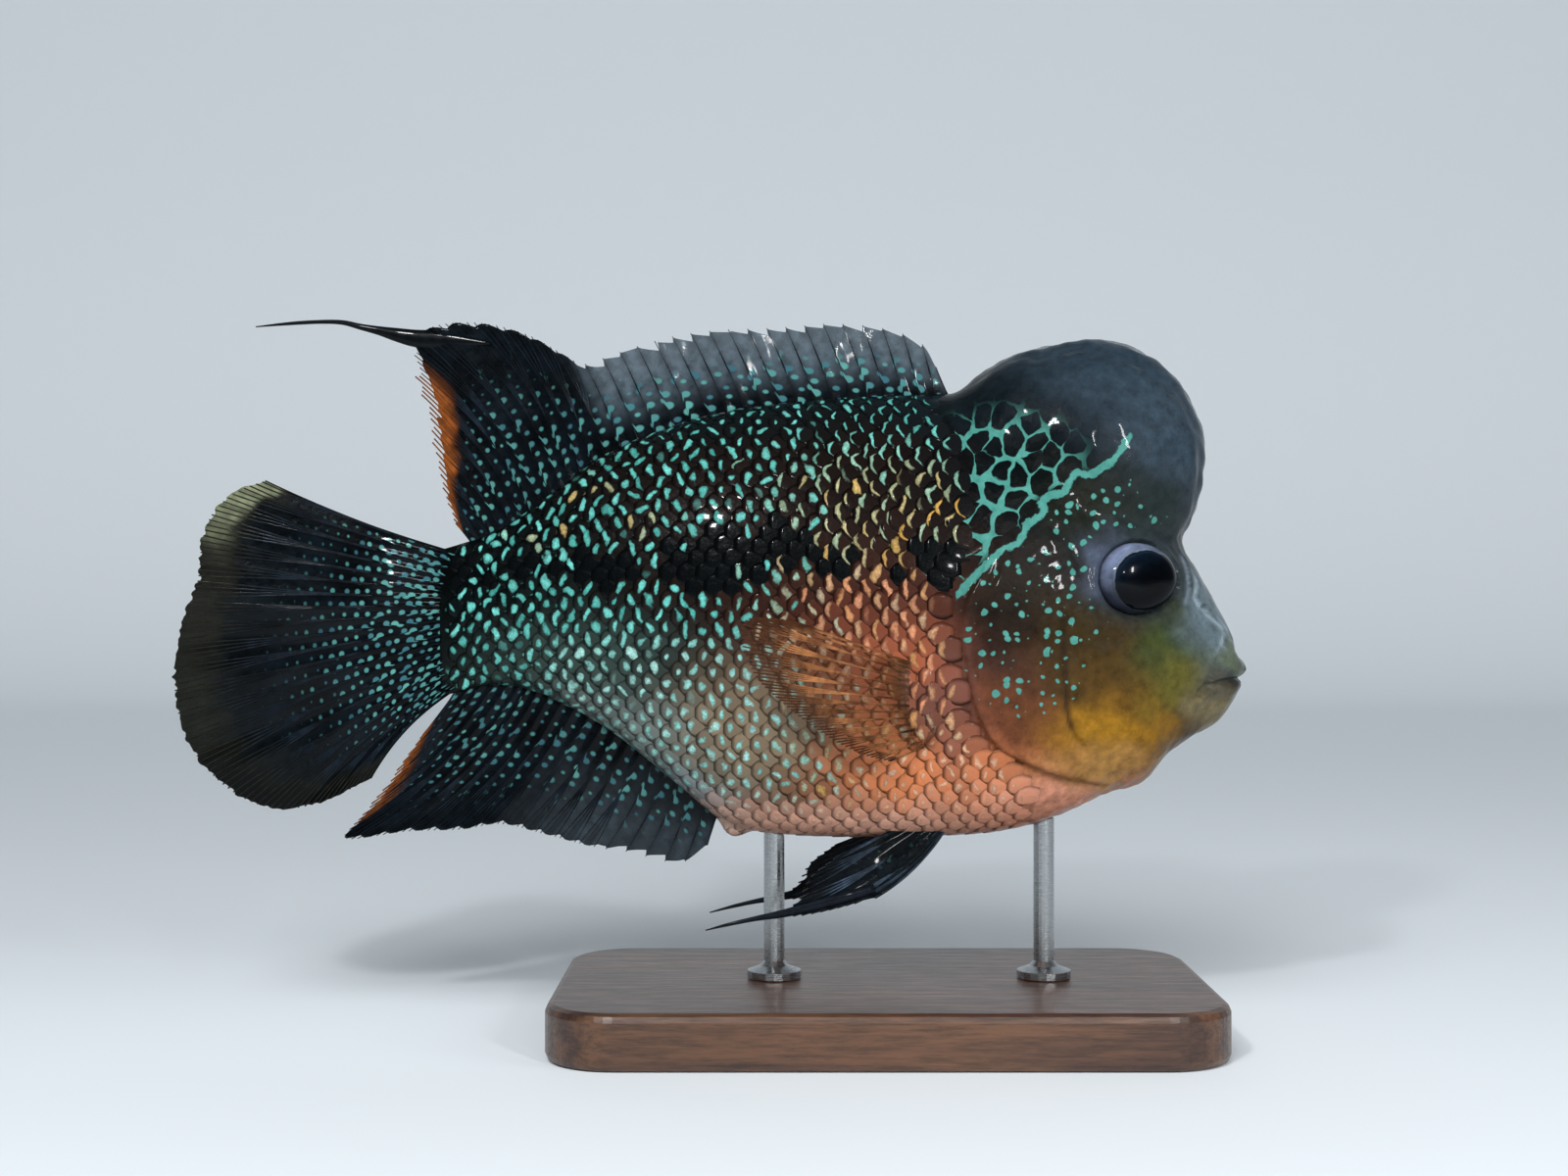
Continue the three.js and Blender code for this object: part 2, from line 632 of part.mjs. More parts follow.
function standBase() {
  const [halfLength, halfWidth] = [BASE_LENGTH / 2 - BASE_BEVEL, BASE_WIDTH / 2 - BASE_BEVEL];
  const corner = BASE_CORNER - BASE_BEVEL;
  const shape = new THREE.Shape();
  const corners = [
    [halfLength - corner, halfWidth - corner, 0],
    [corner - halfLength, halfWidth - corner, 1],
    [corner - halfLength, corner - halfWidth, 2],
    [halfLength - corner, corner - halfWidth, 3],
  ];
  for (const [x, y, quarter] of corners) {
    shape.absarc(x, y, corner, (quarter * Math.PI) / 2, ((quarter + 1) * Math.PI) / 2, false);
  }
  const geometry = new THREE.ExtrudeGeometry(shape, {
    depth: BASE_HEIGHT - 2 * BASE_BEVEL,
    bevelThickness: BASE_BEVEL,
    bevelSize: BASE_BEVEL,
    bevelSegments: 2,
    curveSegments: 6,
  });
  geometry.translate(0, 0, BASE_BEVEL);
  return solidOfGeometry(geometry);
}

// A turned rod with a flat foot on the base, ending against the belly
function standRod(x) {
  const foot = BASE_HEIGHT + GAP;
  const top = bodyBottom(x) + 6;
  const profile = [
    [0, foot],
    [ROD_FOOT_RADIUS, foot],
    [ROD_FOOT_RADIUS, foot + ROD_FOOT_HEIGHT * 0.6],
    [ROD_RADIUS + 0.8, foot + ROD_FOOT_HEIGHT],
    [ROD_RADIUS, foot + ROD_FOOT_HEIGHT + 1],
    [ROD_RADIUS, top],
    [0, top],
  ];
  const geometry = new THREE.LatheGeometry(profile.map(([r, z]) => new THREE.Vector2(r, z)), 20);
  geometry.rotateX(Math.PI / 2);
  geometry.translate(x, 0, 0);
  return largest(solidOfGeometry(geometry).subtract(clearance));
}

const model = new THREE.Group();

function place(name, solid, colour, roughness, metalness = 0) {
  const { numProp, vertProperties, triVerts } = solid.getMesh();
  const positions = new Float32Array((vertProperties.length / numProp) * 3);
  for (let i = 0; i < positions.length / 3; i += 1) {
    positions.set(vertProperties.subarray(i * numProp, i * numProp + 3), i * 3);
  }
  const geometry = new THREE.BufferGeometry();
  geometry.setAttribute("position", new THREE.BufferAttribute(positions, 3));
  geometry.setIndex(new THREE.BufferAttribute(new Uint32Array(triVerts), 1));
  geometry.computeVertexNormals();
  const material = new THREE.MeshStandardMaterial({ color: colour, roughness, metalness });
  const mesh = new THREE.Mesh(geometry, material);
  mesh.name = name;
  model.add(mesh);
}

const { hump, head, trunk, tail } = fish();
place("head", head, CHEEK_OLIVE, 0.35);
place("nuchal_hump", hump, HUMP_GREY, 0.35);
place("trunk", trunk, TRUNK_BRONZE, 0.35);
place("tail", tail, SKIN_DARK, 0.35);

const fitted = (solid) => largest(solid.subtract(clearance));
const { dorsal, anal, caudal } = medianFins();
place("dorsal_fin", fitted(dorsal), FIN_BLACK, 0.3);
place("anal_fin", fitted(anal), FIN_BLACK, 0.3);
place("caudal_fin", fitted(caudal), FIN_BLACK, 0.3);

for (const [suffix, side] of [["left", 1], ["right", -1]]) {
  place(`eye_${suffix}`, eyeball(side, 0), EYE_BLACK, 0.05);
  place(`pectoral_fin_${suffix}`, fitted(pectoralFin(side)), FIN_CLEAR, 0.3);
  place(`pelvic_fin_${suffix}`, fitted(pelvicFin(side)), FIN_BLACK, 0.3);
}

place("stand_base", standBase(), WALNUT, 0.45);
place("stand_rod_front", standRod(FRONT_ROD_X), STEEL, 0.3, 1);
place("stand_rod_rear", standRod(REAR_ROD_X), STEEL, 0.3, 1);

export default model;
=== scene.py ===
import math

import bmesh
import bpy
import numpy as np
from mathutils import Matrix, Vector
from mathutils.kdtree import KDTree


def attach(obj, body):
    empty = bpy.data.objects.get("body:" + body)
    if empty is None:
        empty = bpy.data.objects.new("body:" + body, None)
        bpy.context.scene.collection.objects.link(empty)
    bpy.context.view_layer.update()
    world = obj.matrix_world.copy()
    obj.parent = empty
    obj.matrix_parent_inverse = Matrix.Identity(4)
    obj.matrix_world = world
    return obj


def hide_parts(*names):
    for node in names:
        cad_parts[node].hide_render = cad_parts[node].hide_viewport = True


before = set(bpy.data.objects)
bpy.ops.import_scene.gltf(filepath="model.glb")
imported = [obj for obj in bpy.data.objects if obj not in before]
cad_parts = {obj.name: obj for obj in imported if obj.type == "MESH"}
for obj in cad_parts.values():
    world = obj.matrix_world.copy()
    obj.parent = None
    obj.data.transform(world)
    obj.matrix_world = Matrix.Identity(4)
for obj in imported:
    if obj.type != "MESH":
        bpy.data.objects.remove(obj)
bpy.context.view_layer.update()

bl_info = {
    "name": "Flowerhorn cichlid on a stand",
    "version": (1, 0, 0),
    "blender": (4, 5, 0),
    "location": "3D View > Sidebar > Flowerhorn",
    "description": "Skin, scales, eyes, fins, stand and studio for a life-size flowerhorn cichlid",
    "category": "Object",
}

# All the fish's sizes are in millimetres until a mesh is made
MM = 0.001

# The body from tail to snout: place along X, top, bottom, half width, height of the widest point
STATIONS = np.array([
    [-90, 98.4, 68.6, 1.5, 84],
    [-86, 99.6, 69.4, 3.2, 84.5],
    [-82, 100.9, 70.4, 4.6, 85],
    [-76, 103.6, 70.8, 6.4, 86],
    [-68, 109.4, 68.4, 8.8, 87],
    [-56, 118, 62, 12.6, 88],
    [-40, 124.6, 49.4, 16.8, 88],
    [-32, 126.6, 43, 18.4, 88],
    [-20, 128.3, 40.5, 20, 87],
    [0, 129.7, 40, 21.6, 85],
    [20, 130, 40.7, 22.3, 84],
    [32, 127.6, 43, 21.6, 84],
    [40, 123.4, 46.2, 20, 84],
    [46, 118.6, 49, 18.2, 84],
    [53, 110.4, 51.2, 15.9, 82.5],
    [58, 103.4, 56.8, 13.9, 81],
    [63, 96, 60.3, 11.6, 79],
    [68, 87.2, 63.2, 8.8, 76.5],
    [71.2, 80.8, 67.4, 6.2, 74.5],
    [73, 76.6, 71.6, 3, 74],
])
UPPER_FLANK_POWER = 1.9
LOWER_FLANK_POWER = 2.15
TAIL_X = STATIONS[0, 0]
# The nose that closes the body ahead: foremost place, its height, curve, half height and blend
NOSE_X = STATIONS[-1, 0] - 0.6
NOSE_Z = 73.2
NOSE_CURVE = 0.09
NOSE_HALF_HEIGHT = math.sqrt(12)
NOSE_BLEND = 1.5

# Rounded masses melted into the body: centre, radii, width of the blend
MASSES = [
    ((43.2, 0, 116.4), (22.4, 17.2, 24.8), 2.5),
    ((33.6, 0, 121.8), (19.2, 14.6, 17.6), 2.4),
    ((69.6, 0, 74.8), (3.4, 5.6, 2.9), 1.8),
    ((68.4, 0, 70), (3.7, 5, 2.7), 1.8),
    ((7.4, 20.6, 68.4), (3.2, 2.4, 8.2), 1.6),
    ((-30, 0, 43.2), (2.6, 2, 3.2), 1.4),
]

# Eyes, and the dish that each sits in
EYE_CENTRE = np.array([49.2, 12.5, 92.4])
EYE_RADII = np.array([8.7, 6.2, 7.2])
EYE_TURN = math.radians(15)
DISH_REACH = 11.7
DISH_RADIUS = 11.5
DISH_BLEND = 1.2
EYE_AXIS = np.array([math.sin(EYE_TURN), math.cos(EYE_TURN), 0])

# The ray fan that draws the head starts here and closes on the snout
FAN = np.array([36, 0, 92])
SNOUT = np.array([73.4, 0, 74.6])
RING_SIDES = 320

# Lines on the head as routes in the XZ plane
MOUTH_LINE = np.array([[62.8, 70.2], [65.4, 71.3], [68, 72], [72.8, 72.4], [78, 71.4]])
JAW_FOLD = np.array([[70.6, 81.6], [68.4, 79.4], [66.6, 75.6], [64.4, 72.4], [62.6, 69]])
CHEEK_LINE = np.array([[33.8, 88], [34.6, 76], [35.4, 66], [37.4, 60.8], [42, 57], [49, 55]])
GILL_LINE = np.array([
    [19.6, 101], [18.8, 95], [15.6, 88.6], [14.3, 83.8], [15, 77.8], [16.6, 69.6],
    [19, 63.4], [22.1, 59], [27, 56.4], [33, 53.8], [39, 52.2], [48, 50.4],
])
SNOUT_FOLDS = [
    np.array([[61.4, 95.4], [62.7, 92], [61.9, 88.4], [64.8, 85], [68, 82.4], [67.6, 79.6], [65.6, 76.6]]),
    np.array([[66.6, 85.4], [69.4, 82], [70.4, 79.2]]),
    np.array([[59.4, 98], [60.6, 94], [60.4, 89.6], [59.2, 86.6]]),
]
NOSTRIL = np.array([64, 86.4])
HUMP_LINE = np.array([[15, 130.6], [38, 115.4], [60.8, 100.2]])
BRIGHT_LINE = np.array([
    [48.9, 122.1], [47.4, 119.5], [45.4, 116.6], [42.3, 114.1], [39.5, 112.7], [37.7, 113.4],
    [36.3, 111.8], [35.3, 109.5], [32.5, 108.8], [30.5, 107.4], [31, 105.5], [28.6, 103.7],
    [27.2, 102.6], [25.7, 99.4], [22.9, 98.3], [20.4, 96], [17.6, 93.4], [14.6, 90.2], [12.7, 87],
])

# Scale rows: spacing along a row and between rows, the length and height of one scale
PITCH = 3.6
ROW = 2.8
SCALE_LENGTH = 5.2
SCALE_HEIGHT = 5.6
CHART_STEP = 1.0
# A scale's root lies this far ahead of its seat, its middle this far behind it
ROOT_AHEAD = 1.6
MIDDLE_BEHIND = 1.9
SCALE_THICKNESS = 0.16
# A scale's mark shows on the skin up to this distance from the scale's middle
MARK_REACH = 4.2

# Grid steps of a fin's skin from one ray to the next
STEPS_PER_RAY = 8


def smoothstep(x, low, high):
    """0 below low and 1 above high, with a soft rise between."""
    t = np.clip((x - low) / (high - low), 0, 1)
    return t * t * (3 - 2 * t)


def hump_of(distance, width):
    """A soft ridge, 1 at no distance and fading over the width."""
    return np.exp(-((distance / width) ** 2))


def read_rows(rows, x):
    """Smooth curve through rows whose first value is the place: the other values at x."""
    knots, values = rows[:, 0], rows[:, 1:]
    slopes = np.empty_like(values)
    slopes[1:-1] = (values[2:] - values[:-2]) / (knots[2:] - knots[:-2])[:, None]
    slopes[0] = (values[1] - values[0]) / (knots[1] - knots[0])
    slopes[-1] = (values[-1] - values[-2]) / (knots[-1] - knots[-2])
    x = np.clip(x, knots[0], knots[-1])
    i = np.clip(np.searchsorted(knots, x, side="right") - 1, 0, len(rows) - 2)
    span = (knots[i + 1] - knots[i])[..., None]
    t = (x - knots[i])[..., None] / span
    keep = values[i] * (2 * t**3 - 3 * t**2 + 1) + values[i + 1] * (3 * t**2 - 2 * t**3)
    turn = slopes[i] * (t**3 - 2 * t**2 + t) + slopes[i + 1] * (t**3 - t**2)
    return np.moveaxis(keep + span * turn, -1, 0)


def smooth_route(route, steps=8):
    """More points along a route, on a curve through its points."""
    t = np.arange(len(route), dtype=float)
    fine = np.linspace(0, len(route) - 1, (len(route) - 1) * steps + 1)
    return np.stack(read_rows(np.column_stack([t, route]), fine), axis=1)


def from_route(route, x, z):
    """Distance to a route in the XZ plane, positive on its right, and the share along it."""
    route = smooth_route(route)
    best = np.full(np.shape(x), 1e9)
    side = np.ones(np.shape(x))
    along = np.zeros(np.shape(x))
    for k in range(len(route) - 1):
        (ax, az), (bx, bz) = route[k], route[k + 1]
        dx, dz = bx - ax, bz - az
        t = np.clip(((x - ax) * dx + (z - az) * dz) / (dx * dx + dz * dz), 0, 1)
        px, pz = x - ax - t * dx, z - az - t * dz
        d = np.hypot(px, pz)
        nearer = d < best
        best = np.where(nearer, d, best)
        side = np.where(nearer, np.sign(dz * px - dx * pz), side)
        along = np.where(nearer, (k + t) / (len(route) - 1), along)
    return best * side, along


def ripple(x, y, z, size, seed):
    """Slow unevenness between about -1 and 1, from crossed waves."""
    rng = np.random.default_rng(seed)
    total = 0
    for _ in range(5):
        direction = rng.normal(size=3)
        direction *= rng.uniform(0.7, 1.5) * 2 * math.pi / size / np.linalg.norm(direction)
        total = total + np.sin(x * direction[0] + y * direction[1] + z * direction[2] + rng.uniform(0, 7))
    return total / 3


def melt(a, b, blend):
    """The nearer of two distances, rounded over where they are alike."""
    h = np.maximum(blend - np.abs(a - b), 0) / blend
    return np.minimum(a, b) - h * h * blend / 4


def trunk_distance(x, y, z):
    """How far outside the plain trunk a place is, in millimetres, negative inside it."""
    top, bottom, half_width, middle = read_rows(STATIONS, x)
    upper = z > middle
    reach = np.where(upper, top - middle, middle - bottom)
    power = np.where(upper, UPPER_FLANK_POWER, LOWER_FLANK_POWER)
    ring = ((np.abs(y) / half_width) ** power + (np.abs(z - middle) / reach) ** power) ** (1 / power)
    nose = NOSE_X - NOSE_CURVE * np.minimum((z - NOSE_Z) ** 2, NOSE_HALF_HEIGHT**2)
    return -melt(-(ring - 1) * np.minimum(half_width, reach), nose - x, NOSE_BLEND)


def lip_swell(x, z):
    """How far the rolls of the lips stand out above and below the mouth's line."""
    line = np.interp(x, MOUTH_LINE[:, 0], MOUTH_LINE[:, 1])
    above, below = hump_of(z - line - 2.2, 1.7), hump_of(line - z - 1.7, 1.4)
    return (1.25 * above + 0.8 * below) * smoothstep(x, 60.8, 66)


def fine_relief(x, y, z):
    """Folds, plates and grooves of the head, as millimetres outward."""
    side = np.abs(y)
    out = np.zeros(np.shape(x))
    front = x > 8
    xf, zf, sf, yf = x[front], z[front], side[front], y[front]
    # Slit of the mouth, and the uneven skin of the lips
    d, _ = from_route(MOUTH_LINE[:-1], xf, zf)
    lips = smoothstep(xf, 61.5, 64) * smoothstep(xf, 50, 60)
    relief = -(1.5 - 0.5 * smoothstep(xf, 70, 73)) * hump_of(d, 0.4) * lips
    relief += 0.05 * ripple(xf, yf * 2, zf, 2, 8) * hump_of(np.abs(d) - 1.8, 1.2) * lips
    # Folds of the jaw and the cheek
    d, along = from_route(JAW_FOLD, xf, zf)
    relief += (0.35 * hump_of(d + 1.2, 1) - 0.75 * hump_of(d, 0.4)) * smoothstep(along, 0, 0.15)
    d, along = from_route(CHEEK_LINE, xf, zf)
    edge = smoothstep(along, 0, 0.15) * (1 - smoothstep(along, 0.55, 0.8))
    relief += (0.35 * hump_of(d + 2, 1.8) - 0.6 * hump_of(d, 0.45)) * edge
    # The gill cover steps down behind its edge and has a groove ahead of it
    d, along = from_route(GILL_LINE, xf, zf)
    ahead = smoothstep(-d, -0.25, 0.25)
    fade = smoothstep(along, 0.02, 0.14) * (1 - smoothstep(along, 0.85, 1))
    cover = 0.6 * np.exp(-np.maximum(-d, 0) / 6) * ahead
    hollow = -0.9 * np.exp(-np.maximum(d, 0) / 2.2) * (1 - ahead)
    relief += (cover + hollow) * fade
    relief += -0.35 * hump_of(d + 2.6, 0.5) * fade
    # Folds and nostril of the snout
    for fold in SNOUT_FOLDS:
        d, along = from_route(fold, xf, zf)
        ends = smoothstep(along, 0, 0.2) * (1 - smoothstep(along, 0.8, 1))
        relief += (0.2 * hump_of(d + 0.8, 0.5) - 0.24 * hump_of(d, 0.4)) * ends
    hole = np.hypot(xf - NOSTRIL[0], zf - NOSTRIL[1])
    relief += 0.3 * hump_of(hole - 1.35, 0.4) - 1.5 * hump_of(hole, 0.75)
    # Lumps of the hump, and fainter ones on the face
    d, _ = from_route(HUMP_LINE, xf, zf)
    crown = smoothstep(-d, -2, 6) * smoothstep(xf, 14, 22)
    relief += 0.28 * crown * ripple(xf, yf, zf, 9, 4) + 0.12 * crown * ripple(xf, yf, zf, 4, 5)
    face = smoothstep(xf, 24, 32) * (1 - crown)
    relief += face * (0.07 * ripple(xf, yf, zf, 5, 6) + 0.05 * ripple(xf, yf, zf, 2.4, 7))
    # Socket of the eye, with a low rim
    ahead = (xf - EYE_CENTRE[0]) * EYE_AXIS[1] - (sf - EYE_CENTRE[1]) * EYE_AXIS[0]
    rim = np.hypot(ahead / EYE_RADII[0], (zf - EYE_CENTRE[2]) / EYE_RADII[2])
    near_eye = smoothstep(sf, 4, 7)
    relief += near_eye * (0.25 * hump_of(rim - 1.17, 0.07) - 1.6 * (1 - smoothstep(rim, 0.92, 1.07)))
    out[front] = relief
    return out


def body_distance(x, y, z, fine=True):
    """The same for the whole body: trunk, rounded masses, lips, dishes of the eyes and relief."""
    side = np.abs(y)
    total = trunk_distance(x, y, z) - lip_swell(x, z)
    for centre, radii, blend in MASSES:
        ring = np.sqrt(sum(((p - c) / r) ** 2 for p, c, r in zip((x, side, z), centre, radii)))
        total = melt(total, (ring - 1) * min(radii), blend)
    cx, cy, cz = EYE_CENTRE + DISH_REACH * EYE_AXIS
    dish = np.sqrt((x - cx) ** 2 + (side - cy) ** 2 + (z - cz) ** 2) - DISH_RADIUS
    total = -melt(-total, dish, DISH_BLEND)
    return total - fine_relief(x, y, z) if fine else total


def skin_points(origin, direction, fine=True):
    """Where rays from inside the body cross its skin."""
    near = np.zeros(len(origin))
    far = np.full(len(origin), 90.0)
    # Halving on the plain body first, then with the relief within 3 mm of what that found
    for halvings, detail in ((14, False), (11, fine)):
        for _ in range(halvings):
            middle = (near + far) / 2
            inside = body_distance(*(origin + direction * middle[:, None]).T, fine=detail) < 0
            near = np.where(inside, middle, near)
            far = np.where(inside, far, middle)
        found = near
        near, far = found - 3, found + 3
    return origin + direction * found[:, None]


def ring_origin(x):
    """The point inside the body that a ring's rays start from."""
    middle = read_rows(STATIONS, x)[3]
    blend = smoothstep(x, -60, FAN[0])
    return np.stack([x, np.zeros_like(x), middle + (FAN[2] - middle) * blend], axis=-1)


def rings_of_skin():
    """Rings of skin points from the tail root to the snout, and the snout's tip."""
    around = np.linspace(0, 2 * math.pi, RING_SIDES, endpoint=False)
    fan_out = np.stack([np.zeros(RING_SIDES), np.sin(around), np.cos(around)], axis=1)
    places = np.concatenate([np.arange(TAIL_X, 8, 1.05), np.arange(8, FAN[0], 0.55)])
    origins = [np.repeat(ring_origin(np.array([x])), RING_SIDES, axis=0) for x in places]
    directions = [fan_out] * len(places)
    to_snout = (SNOUT - FAN) / np.linalg.norm(SNOUT - FAN)
    turns = np.linspace(math.pi / 2, 0, 118)[:-1]
    for turn in turns:
        directions.append(fan_out * math.sin(turn) + to_snout * math.cos(turn))
        origins.append(np.repeat(FAN[None].astype(float), RING_SIDES, axis=0))
    direction = np.concatenate(directions)
    direction /= np.linalg.norm(direction, axis=1)[:, None]
    origins = np.concatenate(origins + [FAN[None]])
    points = skin_points(origins, np.concatenate([direction, to_snout[None]]))
    return points[:-1].reshape(-1, RING_SIDES, 3), points[-1]


class Chart:
    """The left flank laid out flat: place along X, and the way round the body from its widest line."""

    def __init__(self):
        rays = 181
        self.x = np.arange(TAIL_X, 34.01, CHART_STEP)
        self.a = np.arange(-66, 66.01, CHART_STEP)
        turns = np.linspace(0, math.pi, rays)
        sweep = np.stack([np.zeros(rays), np.sin(turns), np.cos(turns)], axis=1)
        origins = np.repeat(ring_origin(self.x), rays, axis=0)
        found = skin_points(origins, np.tile(sweep, (len(self.x), 1)), fine=False)
        found = found.reshape(len(self.x), rays, 3)
        self.points = np.empty((len(self.x), len(self.a), 3))
        self.upper = np.empty(len(self.x))
        self.lower = np.empty(len(self.x))
        for i, ring in enumerate(found):
            walk = np.concatenate([[0], np.cumsum(np.linalg.norm(np.diff(ring, axis=0), axis=1))])
            widest = np.interp(-read_rows(STATIONS, self.x[i])[3], -ring[:, 2], walk)
            arc = widest - walk
            self.upper[i], self.lower[i] = arc[0], -arc[-1]
            for k in range(3):
                self.points[i, :, k] = np.interp(self.a, arc[::-1], ring[::-1, k])
        du, dv = np.gradient(self.points, axis=0), np.gradient(self.points, axis=1)
        normals = np.cross(du, dv)
        normals /= np.maximum(np.linalg.norm(normals, axis=2)[..., None], 1e-9)
        outward = np.sign(normals[..., 1:2] + 1e-6)
        self.normals = normals * outward

    def read(self, x, a):
        """Point and outward normal at places on the flank."""
        i = np.clip((x - self.x[0]) / CHART_STEP, 0, len(self.x) - 1.001)
        j = np.clip((a - self.a[0]) / CHART_STEP, 0, len(self.a) - 1.001)
        i0, j0 = i.astype(int), j.astype(int)
        s, t = (i - i0)[..., None], (j - j0)[..., None]
        mixed = []
        for grid in (self.points, self.normals):
            low = grid[i0, j0] * (1 - t) + grid[i0, j0 + 1] * t
            high = grid[i0 + 1, j0] * (1 - t) + grid[i0 + 1, j0 + 1] * t
            mixed.append(low * (1 - s) + high * s)
        return mixed[0], mixed[1] / np.maximum(np.linalg.norm(mixed[1], axis=-1)[..., None], 1e-9)


def linear(hex_colour):
    """An sRGB hex colour as linear red, green and blue."""
    s = np.array([int(hex_colour[i:i + 2], 16) / 255 for i in (1, 3, 5)])
    return np.where(s <= 0.04045, s / 12.92, ((s + 0.055) / 1.055) ** 2.4)


def towards(colour, other, weight):
    """Colours moved towards another one by a weight of 0 to 1."""
    return colour + (other - colour) * np.clip(weight, 0, 1)[..., None]


# Ground colours of the skin as soft patches: centre X and Z, radii, colour, strength
PATCHES = [
    ((-95, 86), (46, 60), "#030708", 1.0),
    ((-20, 129), (80, 10), "#070d0f", 1.0),
    ((4, 106), (34, 18), "#100a08", 0.9),
    ((-2, 90), (32, 12), "#24140f", 0.85),
    ((2, 80), (26, 12), "#45241a", 0.9),
    ((6, 68), (24, 14), "#834730", 0.95),
    ((12, 54), (24, 12), "#ba7048", 0.95),
    ((-58, 74), (22, 12), "#24322e", 0.85),
    ((-52, 57), (24, 12), "#606966", 0.9),
    ((-24, 62), (16, 14), "#6a5c4a", 0.9),
    ((-42, 47), (14, 6), "#7b8286", 0.8),
    ((-8, 41), (40, 7), "#c29480", 0.95),
    ((-30, 41), (7, 5), "#b09688", 0.8),
    ((38, 47), (22, 7), "#b98069", 0.95),
    ((15, 67), (4.5, 16), "#5c3a34", 0.85),
    ((30, 87), (14, 17), "#211b15", 1.0),
    ((26, 69), (11, 13), "#4f2c1a", 0.95),
    ((44, 79), (18, 12), "#2b210c", 0.95),
    ((46, 70), (14, 10), "#44300e", 0.9),
    ((45, 62.5), (14, 5.5), "#865f14", 0.95),
    ((44, 55), (13, 4.5), "#946d38", 0.9),
    ((57, 79), (8, 8), "#2f391a", 0.9),
    ((57, 71), (7, 6), "#56501c", 0.7),
    ((67, 86), (7.5, 13), "#515e65", 1.0),
    ((70, 76.5), (6, 4), "#4b5344", 0.9),
    ((66, 66), (6, 5), "#6b6146", 0.85),
    ((52, 122), (26, 24), "#2c3842", 1.0),
    ((45, 140), (30, 9), "#222f39", 0.9),
    ((30, 113), (19, 16), "#04080a", 1.0),
    ((42, 106), (14, 8.5), "#181a13", 0.95),
    ((54, 106), (7, 7), "#18211f", 0.9),
    ((17, 128), (12, 7), "#0a1216", 0.9),
    ((49.5, 93), (11.5, 10.5), "#262e31", 0.9),
    ((42.6, 95), (4.5, 6), "#454d5f", 0.75),
    ((22, 83), (9, 9), "#15100c", 0.85),
    ((9, 67), (4, 8), "#4a2f28", 0.9),
]
BASE_BROWN = "#120d0b"

# Black patches along the side: centre X and Z, radii
BLOTS = [
    ((-37, 97), (5, 5)), ((-31, 95), (7, 7)), ((-24, 96), (6, 4)), ((-15, 97.5), (6, 4)),
    ((-8, 95), (5, 3.6)), ((-52, 94), (5, 4)), ((-60, 95.5), (4, 3)), ((-69, 95), (5, 3)),
    ((14, 95), (5.5, 4.5)), ((17, 90), (4, 5)), ((-98, 92), (16, 6)), ((-84, 94), (9, 3.6)),
    ((4, 92), (2.4, 2.6)), ((-32, 100), (6, 5)), ((-19, 100), (5, 4)), ((10, 98), (4, 3)),
]


# Where the net of the hump and the dots of the cheek lie: centre X and Z, radii
NET_PATCHES = [((23, 112), (17, 14)), ((17, 99), (7, 10))]
DOT_PATCHES = [((27, 86), (14, 19)), ((41, 105), (13, 7))]


def patch_weight(x, z, centre, radii):
    """1 in the middle of an oval patch seen from the side, fading to 0 past its radii."""
    d = ((x - centre[0]) / radii[0]) ** 2 + ((z - centre[1]) / radii[1]) ** 2
    return np.exp(-(d**1.6))


def most_of(patches, x, z):
    """The strongest of several patches at each place."""
    return np.max([patch_weight(x, z, centre, radii) for centre, radii in patches], axis=0)


def ground_colour(x, y, z):
    """The skin's ground colour from its patches, with wandering borders."""
    wx = x + 1.6 * ripple(x, y, z, 11, 21)
    wz = z + 1.4 * ripple(x, y, z, 9, 22)
    colour = np.tile(linear(BASE_BROWN), (len(x), 1))
    for centre, radii, hex_colour, strength in PATCHES:
        colour = towards(colour, linear(hex_colour), strength * patch_weight(wx, wz, centre, radii))
    return colour


# Painted highlights along the snout's folds and painted shade in the cheek's crease: route, width, colour,
# strength
CREASE_HIGHLIGHTS_AND_SHADE = [
    (SNOUT_FOLDS[0], 0.45, "#8b9ba4", 0.65),
    (SNOUT_FOLDS[1], 0.4, "#7d8c94", 0.5),
    (SNOUT_FOLDS[2], 0.4, "#75838f", 0.5),
    (CHEEK_LINE[:4], 0.5, "#1c120c", 0.75),
]


def with_painted_crease_light(ground, x, z):
    """The ground with a painted line along each crease: highlight on the snout's folds, shade in the
    cheek's crease.
    """
    for route, width, hex_colour, strength in CREASE_HIGHLIGHTS_AND_SHADE:
        d, along = from_route(route, x, z)
        ends = smoothstep(along, 0, 0.2) * (1 - smoothstep(along, 0.8, 1))
        ground = towards(ground, linear(hex_colour), strength * ends * hump_of(d, width))
    return ground


def blot_strength(x, y, z):
    """1 on the black patches of the side, with wandering borders."""
    wx = x + 1.4 * ripple(x, y, z, 7, 31)
    wz = z + 1.2 * ripple(x, y, z, 6, 32)
    return smoothstep(most_of(BLOTS, wx, wz), 0.42, 0.62)


def gill_edge_x(z):
    """Where the scales end behind the gill cover and the nape."""
    return np.interp(z, [50, 56.4, 59, 63.4, 69.6, 77.8, 83.8, 88.6, 95, 104, 112, 118, 128],
                     [31, 26, 21.6, 18.6, 16.2, 14.6, 13.2, 12.6, 15.2, 18.6, 19, 16.6, 12])


def row_squeeze(x):
    """The share of their full size that scales have at a place: smaller towards the tail."""
    return 0.82 + 0.18 * smoothstep(x, -84, -30)


def column_places():
    """Where the columns of scales stand along X, from the gill cover back."""
    places = [31.0]
    while places[-1] > -86:
        places.append(places[-1] - PITCH * (0.9 + 0.1 * row_squeeze(places[-1])))
    return np.array(places)


